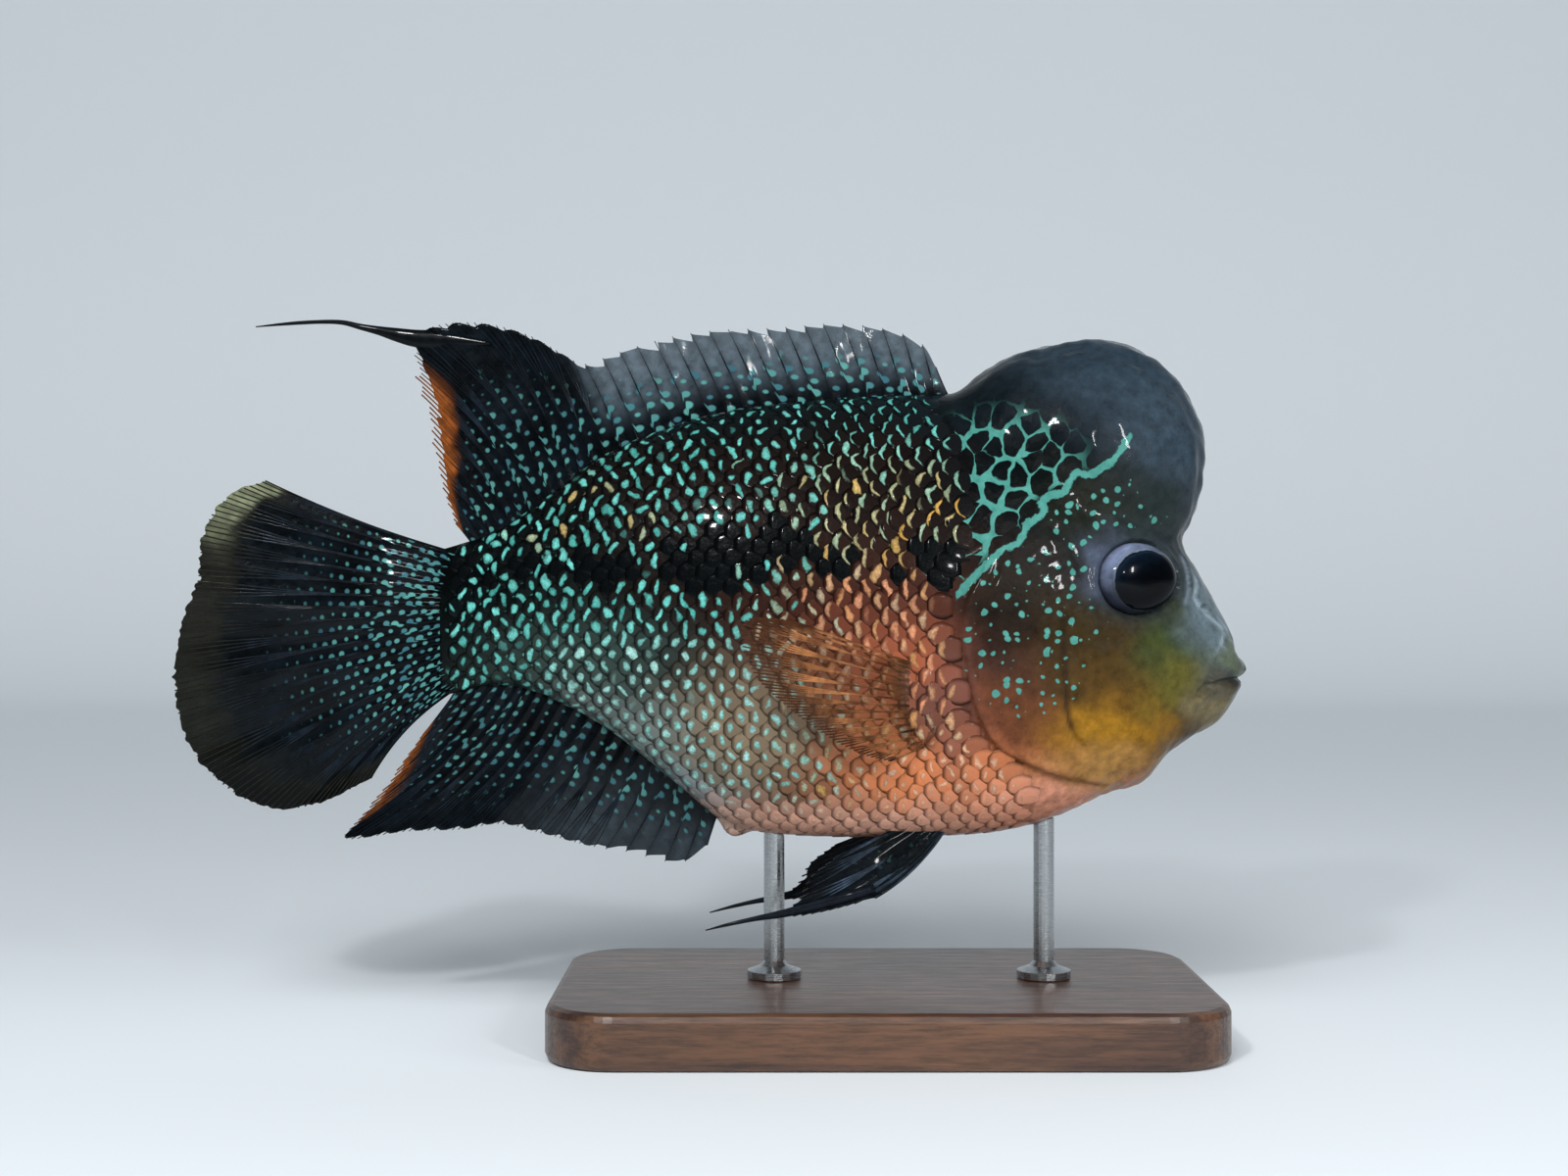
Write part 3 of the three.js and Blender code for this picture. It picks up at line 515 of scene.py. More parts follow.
def scale_seats(chart, seed):
    """Where the scales of one flank sit: place, way round the body, and the point on the skin."""
    rng = np.random.default_rng(seed)
    columns = column_places()
    half = -np.diff(columns, append=columns[-1] - PITCH) / 2
    seats = []
    for row in range(-24, 25):
        x = columns - (half if row % 2 else 0)
        a = row * ROW * row_squeeze(x) + rng.normal(0, 0.08, len(x))
        x = x + rng.normal(0, 0.1, len(x))
        upper = np.interp(x, chart.x, chart.upper)
        lower = np.interp(x, chart.x, chart.lower)
        point, _ = chart.read(x, a)
        keep = (a < upper - 1.6) & (-a < lower - 1.2)
        keep &= (x < gill_edge_x(point[:, 2]) - 0.6) & (x > -87)
        seats.append(np.column_stack([x[keep], a[keep], point[keep]]))
    return np.concatenate(seats)


def choose_marks(seats, seed):
    """The mark on each scale: shape, strength, place, tilt and colour, and the scale's own ground."""
    rng = np.random.default_rng(seed)
    x, y, z = seats[:, 0], seats[:, 3], seats[:, 4]
    n = len(x)
    chance = lambda: rng.uniform(size=n)
    upper = smoothstep(z, 88, 100)
    front = smoothstep(x + rng.normal(0, 5, n), -26, -2)
    crescent = front * upper
    leaf = front * (1 - upper) * smoothstep(z, 60, 68)
    low_front = smoothstep(x, -14, 6) * (1 - smoothstep(z, 58, 66))
    neat = (1 - front) * (1 - smoothstep(z, 76, 84))
    belly = 1 - smoothstep(z, 42, 52)
    breadth = 0.52 + 0.34 * chance()
    height = 0.85 + 0.75 * chance()
    bend = np.zeros(n)
    # Each kind's least half breadth and its spread, the same for the half height, and the bend
    for kind, narrow, wider, low, higher, bow in (
        (crescent > 0.5, 0.34, 0.2, 1.6, 0.7, 0.2),
        (leaf > 0.45, 0.5, 0.3, 1.4, 0.7, 0.12),
        (neat > 0.5, 0.62, 0.16, 0.9, 0.25, 0),
        (low_front > 0.5, 0.36, 0.25, 0.7, 0.6, 0),
    ):
        breadth = np.where(kind, narrow + wider * chance(), breadth)
        height = np.where(kind, low + higher * chance(), height)
        bend = np.where(kind, bow, bend) if bow else bend
    top, rear = smoothstep(z, 116, 124), smoothstep(-x, 70, 84)
    breadth = breadth * (1 - 0.25 * top) * (1 - 0.1 * rear)
    height = height * (1 - 0.3 * top) * (1 - 0.1 * rear)
    strength = np.ones(n) - 0.75 * (chance() < 0.05) - 0.6 * belly
    strength = strength * (1 - 0.25 * low_front) * (1 - 0.12 * leaf)
    turquoise, aqua, gold = linear("#388179"), linear("#5aa59d"), linear("#a07c3c")
    peach, mint, pale = linear("#a26d51"), linear("#86aca5"), linear("#cba18a")
    colour = towards(turquoise, aqua, chance())
    warm = front * (1 - smoothstep(z, 104, 124)) * (0.35 + 0.8 * chance())
    warm = np.maximum(warm, 0.9 * (chance() < 0.1) * patch_weight(x, z, (-58, 105), (16, 8)))
    colour = towards(colour, gold, warm)
    colour = towards(colour, peach, leaf * (0.6 + 0.5 * chance()))
    colour = towards(colour, mint, neat * (0.45 + 0.5 * chance()) * (1 - smoothstep(-x, 56, 76)))
    colour = towards(colour, pale, np.maximum(belly, low_front * 0.7))
    colour *= (0.8 + 0.35 * chance())[:, None]
    ground = ground_colour(x, y, z)
    blot = blot_strength(x, y, z)
    on_blot = blot > 0.2 + 0.6 * chance()
    ground = np.where(on_blot[:, None], linear("#020405"), ground)
    strength = np.where(on_blot & (chance() < 0.82), 0, strength)
    rim = (blot > 0.05) & ~on_blot
    breadth = np.where(rim, breadth * 1.25, breadth)
    ground = ground * (0.85 + 0.3 * chance())[:, None]
    tilt = rng.normal(0, 0.22, n) + (1 - front) * (1 - neat) * rng.normal(0, 0.25, n)
    place = np.where(crescent > 0.5, 0.6, 1.45) + rng.normal(0, 0.14, n)
    place = np.where(leaf > 0.45, 1.1, place)
    return {
        "shape": np.column_stack([np.maximum(breadth, 0.35), np.maximum(height, 0.5), bend]),
        "strength": strength,
        "place": place,
        "tilt": tilt,
        "colour": colour,
        "ground": ground,
    }


def mark_amount(marks, i, p, q):
    """How much of a scale's mark covers a spot p in from its rear edge and q off its middle line."""
    breadth, height, bend = marks["shape"][i].T
    e = p - bend * q * q - marks["place"][i] + marks["tilt"][i] * q
    inside = 1 - np.sqrt((e / breadth) ** 2 + (q / height) ** 2)
    return smoothstep(inside, -0.12, 0.12) * marks["strength"][i]


def link_mesh(name, points, faces, material, attributes=()):
    """A mesh object at the origin from millimetre points, with its attributes and one material."""
    mesh = bpy.data.meshes.new(name)
    faces = faces if isinstance(faces, list) else faces.tolist()
    mesh.from_pydata((np.asarray(points) * MM).tolist(), [], faces)
    for key, values in dict(attributes).items():
        values = np.asarray(values, dtype=np.float32)
        if values.ndim == 1:
            mesh.attributes.new(key, "FLOAT", "POINT").data.foreach_set("value", values)
        else:
            mesh.attributes.new(key, "FLOAT_VECTOR", "POINT").data.foreach_set("vector", values.ravel())
    mesh.materials.append(material)
    mesh.polygons.foreach_set("use_smooth", np.full(len(mesh.polygons), True))
    mesh.update()
    obj = bpy.data.objects.new(name, mesh)
    bpy.context.collection.objects.link(obj)
    return obj


def add(tree, kind, settings=None, inputs=None):
    """A node with its settings, and its inputs set or linked."""
    node = tree.nodes.new(kind)
    for key, value in (settings or {}).items():
        setattr(node, key, value)
    for key, value in (inputs or {}).items():
        if isinstance(value, bpy.types.NodeSocket):
            tree.links.new(value, node.inputs[key])
        else:
            node.inputs[key].default_value = value
    return node


def new_material(name, sockets):
    """A material, its tree, and its shader with the sockets that are the same all over set."""
    material = bpy.data.materials.new(name)
    material.use_nodes = True
    tree = material.node_tree
    tree.nodes.clear()
    shader = add(tree, "ShaderNodeBsdfPrincipled", inputs=sockets)
    add(tree, "ShaderNodeOutputMaterial", inputs={"Surface": shader.outputs[0]})
    return material, tree, shader


def rgba(hex_colour):
    """An sRGB hex colour as a linear colour with full alpha."""
    return (*linear(hex_colour), 1)


# A wet film is near 1.33; a lower value keeps its glints and leaves dark skin dark
WET_FILM_IOR = 1.22


def wet_skin_material():
    """Wet fish skin: slate and olive ground, turquoise net, dots and pearls, under a clear wet film."""
    material, tree, shader = new_material("wet fish skin", {
        "IOR": 1.4, "Coat Weight": 0.6, "Coat IOR": WET_FILM_IOR, "Coat Roughness": 0.06,
        "Specular IOR Level": 0.06})
    ground, fields, pearl, pearl_colour = (
        add(tree, "ShaderNodeAttribute", {"attribute_name": key})
        for key in ("ground", "fields", "pearl", "pearl_colour"))
    split = add(tree, "ShaderNodeSeparateXYZ", inputs={0: fields.outputs["Vector"]})
    where = add(tree, "ShaderNodeTexCoord").outputs["Object"]
    mottle = add(tree, "ShaderNodeTexNoise", inputs={
        "Vector": where, "Scale": 420, "Detail": 5, "Roughness": 0.65})
    cloud = add(tree, "ShaderNodeTexNoise", inputs={"Vector": where, "Scale": 110, "Detail": 3})
    shade = add(tree, "ShaderNodeMapRange", inputs={
        "Value": mottle.outputs[0], 1: 0.3, 2: 0.7, 3: 0.66, 4: 1.36})
    dim = add(tree, "ShaderNodeVectorMath", {"operation": "SCALE"}, {
        0: ground.outputs["Vector"], "Scale": shade.outputs[0]})
    # Dark ovals about 5 mm by 3.5 in a turquoise net, leaning forward, on the side of the hump
    warp = add(tree, "ShaderNodeTexNoise", inputs={"Vector": where, "Scale": 260, "Detail": 2})
    bent = add(tree, "ShaderNodeMix", {"data_type": "VECTOR"}, {
        0: 0.0022, 4: where, 5: warp.outputs["Color"]})
    apart = add(tree, "ShaderNodeSeparateXYZ", inputs={0: bent.outputs[1]})
    side_on = add(tree, "ShaderNodeCombineXYZ", inputs={
        0: apart.outputs["X"], 1: apart.outputs["Z"]})
    turned = add(tree, "ShaderNodeMapping", {"vector_type": "TEXTURE"}, {
        "Vector": side_on.outputs[0], "Rotation": (0, 0, math.radians(-24)), "Scale": (1, 1.4, 1)})
    cells = add(tree, "ShaderNodeTexVoronoi", {
        "feature": "DISTANCE_TO_EDGE", "voronoi_dimensions": "2D"}, {
        "Vector": turned.outputs[0], "Scale": 275, "Randomness": 0.8})
    middle = add(tree, "ShaderNodeTexVoronoi", {"feature": "F1", "voronoi_dimensions": "2D"}, {
        "Vector": turned.outputs[0], "Scale": 275, "Randomness": 0.8})
    corner = add(tree, "ShaderNodeMapRange", inputs={
        "Value": middle.outputs["Distance"], 1: 0.36, 2: 0.72, 3: 0, 4: 0.2})
    width = add(tree, "ShaderNodeMapRange", inputs={
        "Value": cloud.outputs[0], 1: 0.42, 2: 0.62, 3: -0.08, 4: 0.07})
    full = add(tree, "ShaderNodeMath", {"operation": "ADD"}, {0: width.outputs[0], 1: corner.outputs[0]})
    line = add(tree, "ShaderNodeMath", {"operation": "SUBTRACT"}, {
        0: full.outputs[0], 1: cells.outputs[0]})
    net = add(tree, "ShaderNodeMapRange", {"interpolation_type": "SMOOTHSTEP"}, {
        "Value": line.outputs[0], 1: -0.03, 2: 0.03})
    net_on = add(tree, "ShaderNodeMath", {"operation": "MULTIPLY"}, {
        0: net.outputs[0], 1: split.outputs["Y"]})
    # Small turquoise dots about 1.2 mm across, scattered over the cheek
    spots = add(tree, "ShaderNodeTexVoronoi", {"feature": "F1", "voronoi_dimensions": "2D"}, {
        "Vector": side_on.outputs[0], "Scale": 400, "Randomness": 1})
    random = add(tree, "ShaderNodeSeparateColor", inputs={0: spots.outputs["Color"]})
    size = add(tree, "ShaderNodeMapRange", inputs={
        "Value": random.outputs[0], 1: 0.1, 2: 1, 3: 0.02, 4: 0.36})
    spot = add(tree, "ShaderNodeMath", {"operation": "MULTIPLY_ADD"}, {
        0: size.outputs[0], 1: split.outputs["Z"], 2: -0.02})
    grown = add(tree, "ShaderNodeMath", {"operation": "SUBTRACT"}, {
        0: spot.outputs[0], 1: spots.outputs["Distance"]})
    dot_on = add(tree, "ShaderNodeMapRange", {"interpolation_type": "SMOOTHSTEP"}, {
        "Value": grown.outputs[0], 1: -0.04, 2: 0.06})
    # The thick bright line between hump and face, about 1.5 mm wide with uneven edges
    wander = add(tree, "ShaderNodeMapRange", inputs={
        "Value": mottle.outputs[0], 1: 0.3, 2: 0.7, 3: -0.5, 4: 0.5})
    reach = add(tree, "ShaderNodeMath", {"operation": "ADD"}, {
        0: split.outputs["X"], 1: wander.outputs[0]})
    border = add(tree, "ShaderNodeMapRange", {"interpolation_type": "SMOOTHSTEP"}, {
        "Value": reach.outputs[0], 1: 0.85, 2: 0.55})
    lines = add(tree, "ShaderNodeMath", {"operation": "MAXIMUM"}, {
        0: net_on.outputs[0], 1: border.outputs[0]})
    shine = add(tree, "ShaderNodeMath", {"operation": "MAXIMUM"}, {
        0: lines.outputs[0], 1: dot_on.outputs[0]})
    jade = add(tree, "ShaderNodeMix", {"data_type": "RGBA"}, {
        0: mottle.outputs[0], 6: rgba("#1c524c"), 7: rgba("#569a8f")})
    inked = add(tree, "ShaderNodeMix", {"data_type": "RGBA"}, {
        0: shine.outputs[0], 6: dim.outputs[0], 7: jade.outputs[2]})
    pearled = add(tree, "ShaderNodeMix", {"data_type": "RGBA"}, {
        0: pearl.outputs["Fac"], 6: inked.outputs[2], 7: pearl_colour.outputs["Vector"]})
    tree.links.new(pearled.outputs[2], shader.inputs["Base Color"])
    gloss = add(tree, "ShaderNodeMapRange", inputs={
        "Value": mottle.outputs[0], 1: 0.3, 2: 0.7, 3: 0.26, 4: 0.42})
    tree.links.new(gloss.outputs[0], shader.inputs["Roughness"])
    # Pores and creases of a fraction of a millimetre, and the bulge of each dark oval
    bulge = add(tree, "ShaderNodeMath", {"operation": "MULTIPLY"}, {
        0: cells.outputs[0], 1: split.outputs["Y"]})
    relief = add(tree, "ShaderNodeBump", inputs={
        "Height": bulge.outputs[0], "Strength": 0.5, "Distance": 0.0014})
    pores = add(tree, "ShaderNodeTexNoise", inputs={
        "Vector": where, "Scale": 1400, "Detail": 3, "Roughness": 0.6})
    grain = add(tree, "ShaderNodeBump", inputs={
        "Height": pores.outputs[0], "Strength": 0.35, "Distance": 0.0003, "Normal": relief.outputs[0]})
    tree.links.new(grain.outputs[0], shader.inputs["Normal"])
    return material


def scale_material():
    """Wet bony scales: dark ground with one pearl or crescent each, under a clear wet film."""
    material, tree, shader = new_material("wet ctenoid scales", {
        "IOR": 1.5, "Coat Weight": 0.6, "Coat IOR": WET_FILM_IOR, "Coat Roughness": 0.06,
        "Specular IOR Level": 0.05})
    ground, spot, shape, pearl_colour, strength = (
        add(tree, "ShaderNodeAttribute", {"attribute_name": key})
        for key in ("ground", "spot", "shape", "pearl_colour", "strength"))
    where = add(tree, "ShaderNodeTexCoord").outputs["Object"]
    noise = add(tree, "ShaderNodeTexNoise", inputs={"Vector": where, "Scale": 900, "Detail": 2})
    rough = add(tree, "ShaderNodeTexNoise", inputs={"Vector": where, "Scale": 2400, "Detail": 2})
    # The marks wander by up to a millimetre, so that neighbours run together
    wander = add(tree, "ShaderNodeTexNoise", inputs={"Vector": where, "Scale": 330, "Detail": 1})
    shift = add(tree, "ShaderNodeVectorMath", {"operation": "MULTIPLY_ADD"}, {
        0: wander.outputs["Color"], 1: (2.6, 2.6, 0), 2: (-1.3, -1.3, 0)})
    pushed = add(tree, "ShaderNodeVectorMath", {"operation": "ADD"}, {
        0: spot.outputs["Vector"], 1: shift.outputs[0]})
    local = add(tree, "ShaderNodeSeparateXYZ", inputs={0: pushed.outputs[0]})
    size = add(tree, "ShaderNodeSeparateXYZ", inputs={0: shape.outputs["Vector"]})
    # Same mark as the skin under it: (along / breadth)^2 + (across / height)^2 with a ragged edge
    across2 = add(tree, "ShaderNodeMath", {"operation": "MULTIPLY"}, {
        0: local.outputs["Y"], 1: local.outputs["Y"]})
    bent = add(tree, "ShaderNodeMath", {"operation": "MULTIPLY"}, {
        0: across2.outputs[0], 1: size.outputs["Z"]})
    along = add(tree, "ShaderNodeMath", {"operation": "SUBTRACT"}, {
        0: local.outputs["X"], 1: bent.outputs[0]})
    a = add(tree, "ShaderNodeMath", {"operation": "DIVIDE"}, {0: along.outputs[0], 1: size.outputs["X"]})
    b = add(tree, "ShaderNodeMath", {"operation": "DIVIDE"}, {
        0: local.outputs["Y"], 1: size.outputs["Y"]})
    flat = add(tree, "ShaderNodeCombineXYZ", inputs={0: a.outputs[0], 1: b.outputs[0]})
    far = add(tree, "ShaderNodeVectorMath", {"operation": "LENGTH"}, {0: flat.outputs[0]})
    ragged = add(tree, "ShaderNodeMapRange", inputs={
        "Value": noise.outputs[0], 1: 0.3, 2: 0.7, 3: 0.78, 4: 1.22})
    edge = add(tree, "ShaderNodeMath", {"operation": "SUBTRACT"}, {
        0: ragged.outputs[0], 1: far.outputs["Value"]})
    mask = add(tree, "ShaderNodeMapRange", {"interpolation_type": "SMOOTHSTEP"}, {
        "Value": edge.outputs[0], 1: -0.12, 2: 0.24})
    on = add(tree, "ShaderNodeMath", {"operation": "MULTIPLY"}, {
        0: mask.outputs[0], 1: strength.outputs["Fac"]})
    speck = add(tree, "ShaderNodeMapRange", inputs={
        "Value": rough.outputs[0], 1: 0.35, 2: 0.65, 3: 0.7, 4: 1.2})
    core = add(tree, "ShaderNodeMapRange", inputs={
        "Value": edge.outputs[0], 1: 0, 2: 0.7, 3: 0.6, 4: 1.2})
    glow = add(tree, "ShaderNodeMath", {"operation": "MULTIPLY"}, {
        0: speck.outputs[0], 1: core.outputs[0]})
    bright = add(tree, "ShaderNodeVectorMath", {"operation": "SCALE"}, {
        0: pearl_colour.outputs["Vector"], "Scale": glow.outputs[0]})
    # The rim of each scale is darker than its middle, which draws the dark lattice
    rim = add(tree, "ShaderNodeMapRange", {"interpolation_type": "SMOOTHSTEP"}, {
        "Value": local.outputs["Z"], 1: 0.02, 2: 0.4, 3: 0.38, 4: 1.2})
    base = add(tree, "ShaderNodeVectorMath", {"operation": "SCALE"}, {
        0: ground.outputs["Vector"], "Scale": rim.outputs[0]})
    colour = add(tree, "ShaderNodeMix", {"data_type": "RGBA"}, {
        0: on.outputs[0], 6: base.outputs[0], 7: bright.outputs[0]})
    tree.links.new(colour.outputs[2], shader.inputs["Base Color"])
    gloss = add(tree, "ShaderNodeMapRange", inputs={
        "Value": rough.outputs[0], 1: 0.3, 2: 0.7, 3: 0.24, 4: 0.4})
    tree.links.new(gloss.outputs[0], shader.inputs["Roughness"])
    bump = add(tree, "ShaderNodeBump", inputs={
        "Height": noise.outputs[0], "Strength": 0.4, "Distance": 0.0003})
    tree.links.new(bump.outputs[0], shader.inputs["Normal"])
    return material


def membrane_material(name, alpha):
    """Wet fin membrane: thin dark skin between rays, with rows of pale spots and clear, brownish edges."""
    material, tree, shader = new_material(name, {
        "IOR": 1.4, "Coat Weight": 0.6, "Coat IOR": WET_FILM_IOR, "Coat Roughness": 0.06,
        "Specular IOR Level": 0.05})
    ground, lie, strength, clear = (
        add(tree, "ShaderNodeAttribute", {"attribute_name": key})
        for key in ("ground", "lie", "strength", "clear"))
    where = add(tree, "ShaderNodeTexCoord").outputs["Object"]
    noise = add(tree, "ShaderNodeTexNoise", inputs={"Vector": where, "Scale": 500, "Detail": 4})
    # Spots sit in rows between the rays, about 2.6 mm apart, shifted from one row to the next
    spots = add(tree, "ShaderNodeTexVoronoi", {"feature": "F1", "voronoi_dimensions": "2D"}, {
        "Vector": lie.outputs["Vector"], "Scale": 1, "Randomness": 0.4})
    random = add(tree, "ShaderNodeSeparateColor", inputs={0: spots.outputs["Color"]})
    size = add(tree, "ShaderNodeMapRange", inputs={
        "Value": random.outputs[0], 1: 0.1, 2: 0.9, 3: 0.04, 4: 0.2})
    grown = add(tree, "ShaderNodeMath", {"operation": "MULTIPLY_ADD"}, {
        0: strength.outputs["Fac"], 1: 0.16, 2: size.outputs[0]})
    spot = add(tree, "ShaderNodeMath", {"operation": "SUBTRACT"}, {
        0: grown.outputs[0], 1: spots.outputs["Distance"]})
    dot = add(tree, "ShaderNodeMapRange", {"interpolation_type": "SMOOTHSTEP"}, {
        "Value": spot.outputs[0], 1: -0.02, 2: 0.12})
    on = add(tree, "ShaderNodeMath", {"operation": "MULTIPLY", "use_clamp": True}, {
        0: dot.outputs[0], 1: strength.outputs["Fac"]})
    shade = add(tree, "ShaderNodeMapRange", inputs={
        "Value": noise.outputs[0], 1: 0.3, 2: 0.7, 3: 0.65, 4: 1.35})
    base = add(tree, "ShaderNodeVectorMath", {"operation": "SCALE"}, {
        0: ground.outputs["Vector"], "Scale": shade.outputs[0]})
    pale = add(tree, "ShaderNodeMix", {"data_type": "RGBA"}, {
        0: random.outputs[1], 6: rgba("#2c5560"), 7: rgba("#4c8680")})
    colour = add(tree, "ShaderNodeMix", {"data_type": "RGBA"}, {
        0: on.outputs[0], 6: base.outputs[0], 7: pale.outputs[2]})
    tree.links.new(colour.outputs[2], shader.inputs["Base Color"])
    gloss = add(tree, "ShaderNodeMapRange", inputs={
        "Value": noise.outputs[0], 1: 0.3, 2: 0.7, 3: 0.22, 4: 0.4})
    tree.links.new(gloss.outputs[0], shader.inputs["Roughness"])
    seen = add(tree, "ShaderNodeMapRange", inputs={
        "Value": clear.outputs["Fac"], 1: 0, 2: 1, 3: 1, 4: alpha})
    tree.links.new(seen.outputs[0], shader.inputs["Alpha"])
    bump = add(tree, "ShaderNodeBump", inputs={
        "Height": noise.outputs[0], "Strength": 0.35, "Distance": 0.0005})
    tree.links.new(bump.outputs[0], shader.inputs["Normal"])
    return material


def ray_material():
    """Wet fin rays: glossy strips of bone under skin, each in the colour that its thread carries."""
    material, tree, shader = new_material("wet fin rays", {
        "IOR": 1.5, "Coat Weight": 0.5, "Coat IOR": WET_FILM_IOR, "Coat Roughness": 0.05,
        "Roughness": 0.32, "Specular IOR Level": 0.06})
    tint = add(tree, "ShaderNodeAttribute", {"attribute_name": "ray_colour"})
    where = add(tree, "ShaderNodeTexCoord").outputs["Object"]
    noise = add(tree, "ShaderNodeTexNoise", inputs={"Vector": where, "Scale": 700, "Detail": 3})
    amount = add(tree, "ShaderNodeMapRange", inputs={
        "Value": noise.outputs[0], 1: 0.35, 2: 0.65, 3: 0.65, 4: 1.4})
    colour = add(tree, "ShaderNodeVectorMath", {"operation": "SCALE"}, {
        0: tint.outputs["Vector"], "Scale": amount.outputs[0]})
    tree.links.new(colour.outputs[0], shader.inputs["Base Color"])
    bump = add(tree, "ShaderNodeBump", inputs={
        "Height": noise.outputs[0], "Strength": 0.3, "Distance": 0.0003})
    tree.links.new(bump.outputs[0], shader.inputs["Normal"])
    return material


def eye_material():
    """Living eye: a near-black pupil behind a clear cornea, in a lavender-grey ring."""
    material, tree, shader = new_material("wet eye", {
        "IOR": 1.38, "Roughness": 0.2, "Specular IOR Level": 0.05, "Coat Weight": 0.7,
        "Coat IOR": WET_FILM_IOR, "Coat Roughness": 0.02})
    iris = add(tree, "ShaderNodeAttribute", {"attribute_name": "iris"})
    split = add(tree, "ShaderNodeSeparateXYZ", inputs={0: iris.outputs["Vector"]})
    where = add(tree, "ShaderNodeTexCoord").outputs["Object"]
    noise = add(tree, "ShaderNodeTexNoise", inputs={"Vector": where, "Scale": 500, "Detail": 4})
    streak = add(tree, "ShaderNodeTexNoise", {"noise_dimensions": "2D"}, {
        "Vector": add(tree, "ShaderNodeCombineXYZ", inputs={
            0: split.outputs["Y"], 1: split.outputs["X"]}).outputs[0], "Scale": 7, "Detail": 3})
    wobble = add(tree, "ShaderNodeMapRange", inputs={
        "Value": noise.outputs[0], 1: 0.3, 2: 0.7, 3: -0.02, 4: 0.02})
    reach = add(tree, "ShaderNodeMath", {"operation": "ADD"}, {
        0: split.outputs["X"], 1: wobble.outputs[0]})
    ring = add(tree, "ShaderNodeValToRGB", inputs={0: reach.outputs[0]})
    # The pale stop at 0.712, on the ring's inner edge along the pupil, is a painted highlight
    stops = [
        (0.0, "#050c16"), (0.6, "#0a1623"), (0.66, "#152436"), (0.69, "#0a1018"),
        (0.712, "#77848f"), (0.74, "#66728c"), (0.84, "#77829f"), (1.0, "#3c4554"),
    ]
    ramp = ring.color_ramp
    while len(ramp.elements) < len(stops):
        ramp.elements.new(0.5)
    for element, (place, colour) in zip(ramp.elements, stops):
        element.position = place
        element.color = rgba(colour)
    shade = add(tree, "ShaderNodeMapRange", inputs={
        "Value": streak.outputs[0], 1: 0.3, 2: 0.7, 3: 0.7, 4: 1.3})
    colour = add(tree, "ShaderNodeVectorMath", {"operation": "SCALE"}, {
        0: ring.outputs["Color"], "Scale": shade.outputs[0]})
    # The ring's colour times its painted light, which the iris's third value carries
    with_painted_light = add(tree, "ShaderNodeVectorMath", {"operation": "SCALE"}, {
        0: colour.outputs[0], "Scale": split.outputs["Z"]})
    tree.links.new(with_painted_light.outputs[0], shader.inputs["Base Color"])
    return material


def walnut_material():
    """Oiled walnut: long brown grain with darker pores, satin."""
    material, tree, shader = new_material("oiled walnut", {
        "IOR": 1.5, "Coat Weight": 0.25, "Coat Roughness": 0.25})
    where = add(tree, "ShaderNodeTexCoord").outputs["Object"]
    stretched = add(tree, "ShaderNodeMapping", inputs={"Vector": where, "Scale": (0.08, 1, 1)})
    bend = add(tree, "ShaderNodeTexNoise", inputs={
        "Vector": stretched.outputs[0], "Scale": 60, "Detail": 3, "Distortion": 0.8})
    rings = add(tree, "ShaderNodeTexWave", {"wave_type": "BANDS", "bands_direction": "Y"}, {
        "Vector": stretched.outputs[0], "Scale": 70, "Distortion": 9, "Detail": 3, "Detail Scale": 1.4})
    pores = add(tree, "ShaderNodeTexNoise", inputs={
        "Vector": stretched.outputs[0], "Scale": 1500, "Detail": 3, "Roughness": 0.7})
    mix = add(tree, "ShaderNodeMix", {"data_type": "RGBA"}, {
        0: rings.outputs["Fac"], 6: rgba("#37231a"), 7: rgba("#513624")})
    deep = add(tree, "ShaderNodeMapRange", inputs={
        "Value": pores.outputs[0], 1: 0.35, 2: 0.6, 3: 0.55, 4: 1.15})
    cloud = add(tree, "ShaderNodeMapRange", inputs={
        "Value": bend.outputs[0], 1: 0.3, 2: 0.7, 3: 0.8, 4: 1.25})
    amount = add(tree, "ShaderNodeMath", {"operation": "MULTIPLY"}, {
        0: deep.outputs[0], 1: cloud.outputs[0]})
    colour = add(tree, "ShaderNodeVectorMath", {"operation": "SCALE"}, {
        0: mix.outputs[2], "Scale": amount.outputs[0]})
    tree.links.new(colour.outputs[0], shader.inputs["Base Color"])
    gloss = add(tree, "ShaderNodeMapRange", inputs={
        "Value": pores.outputs[0], 1: 0.3, 2: 0.7, 3: 0.5, 4: 0.34})
    tree.links.new(gloss.outputs[0], shader.inputs["Roughness"])
    bump = add(tree, "ShaderNodeBump", inputs={
        "Height": pores.outputs[0], "Strength": 0.25, "Distance": 0.0003})
    tree.links.new(bump.outputs[0], shader.inputs["Normal"])
    return material


def steel_material():
    """Brushed stainless steel: fine scratches round the rod."""
    material, tree, shader = new_material("brushed stainless steel", {
        "Metallic": 1, "Base Color": rgba("#a9acae")})
    where = add(tree, "ShaderNodeTexCoord").outputs["Object"]
    lathe = add(tree, "ShaderNodeMapping", inputs={"Vector": where, "Scale": (1, 1, 14)})
    marks = add(tree, "ShaderNodeTexNoise", inputs={
        "Vector": lathe.outputs[0], "Scale": 420, "Detail": 3})
    gloss = add(tree, "ShaderNodeMapRange", inputs={
        "Value": marks.outputs[0], 1: 0.3, 2: 0.7, 3: 0.22, 4: 0.38})
    tree.links.new(gloss.outputs[0], shader.inputs["Roughness"])
    bump = add(tree, "ShaderNodeBump", inputs={
        "Height": marks.outputs[0], "Strength": 0.15, "Distance": 0.0002})
    tree.links.new(bump.outputs[0], shader.inputs["Normal"])
    return material


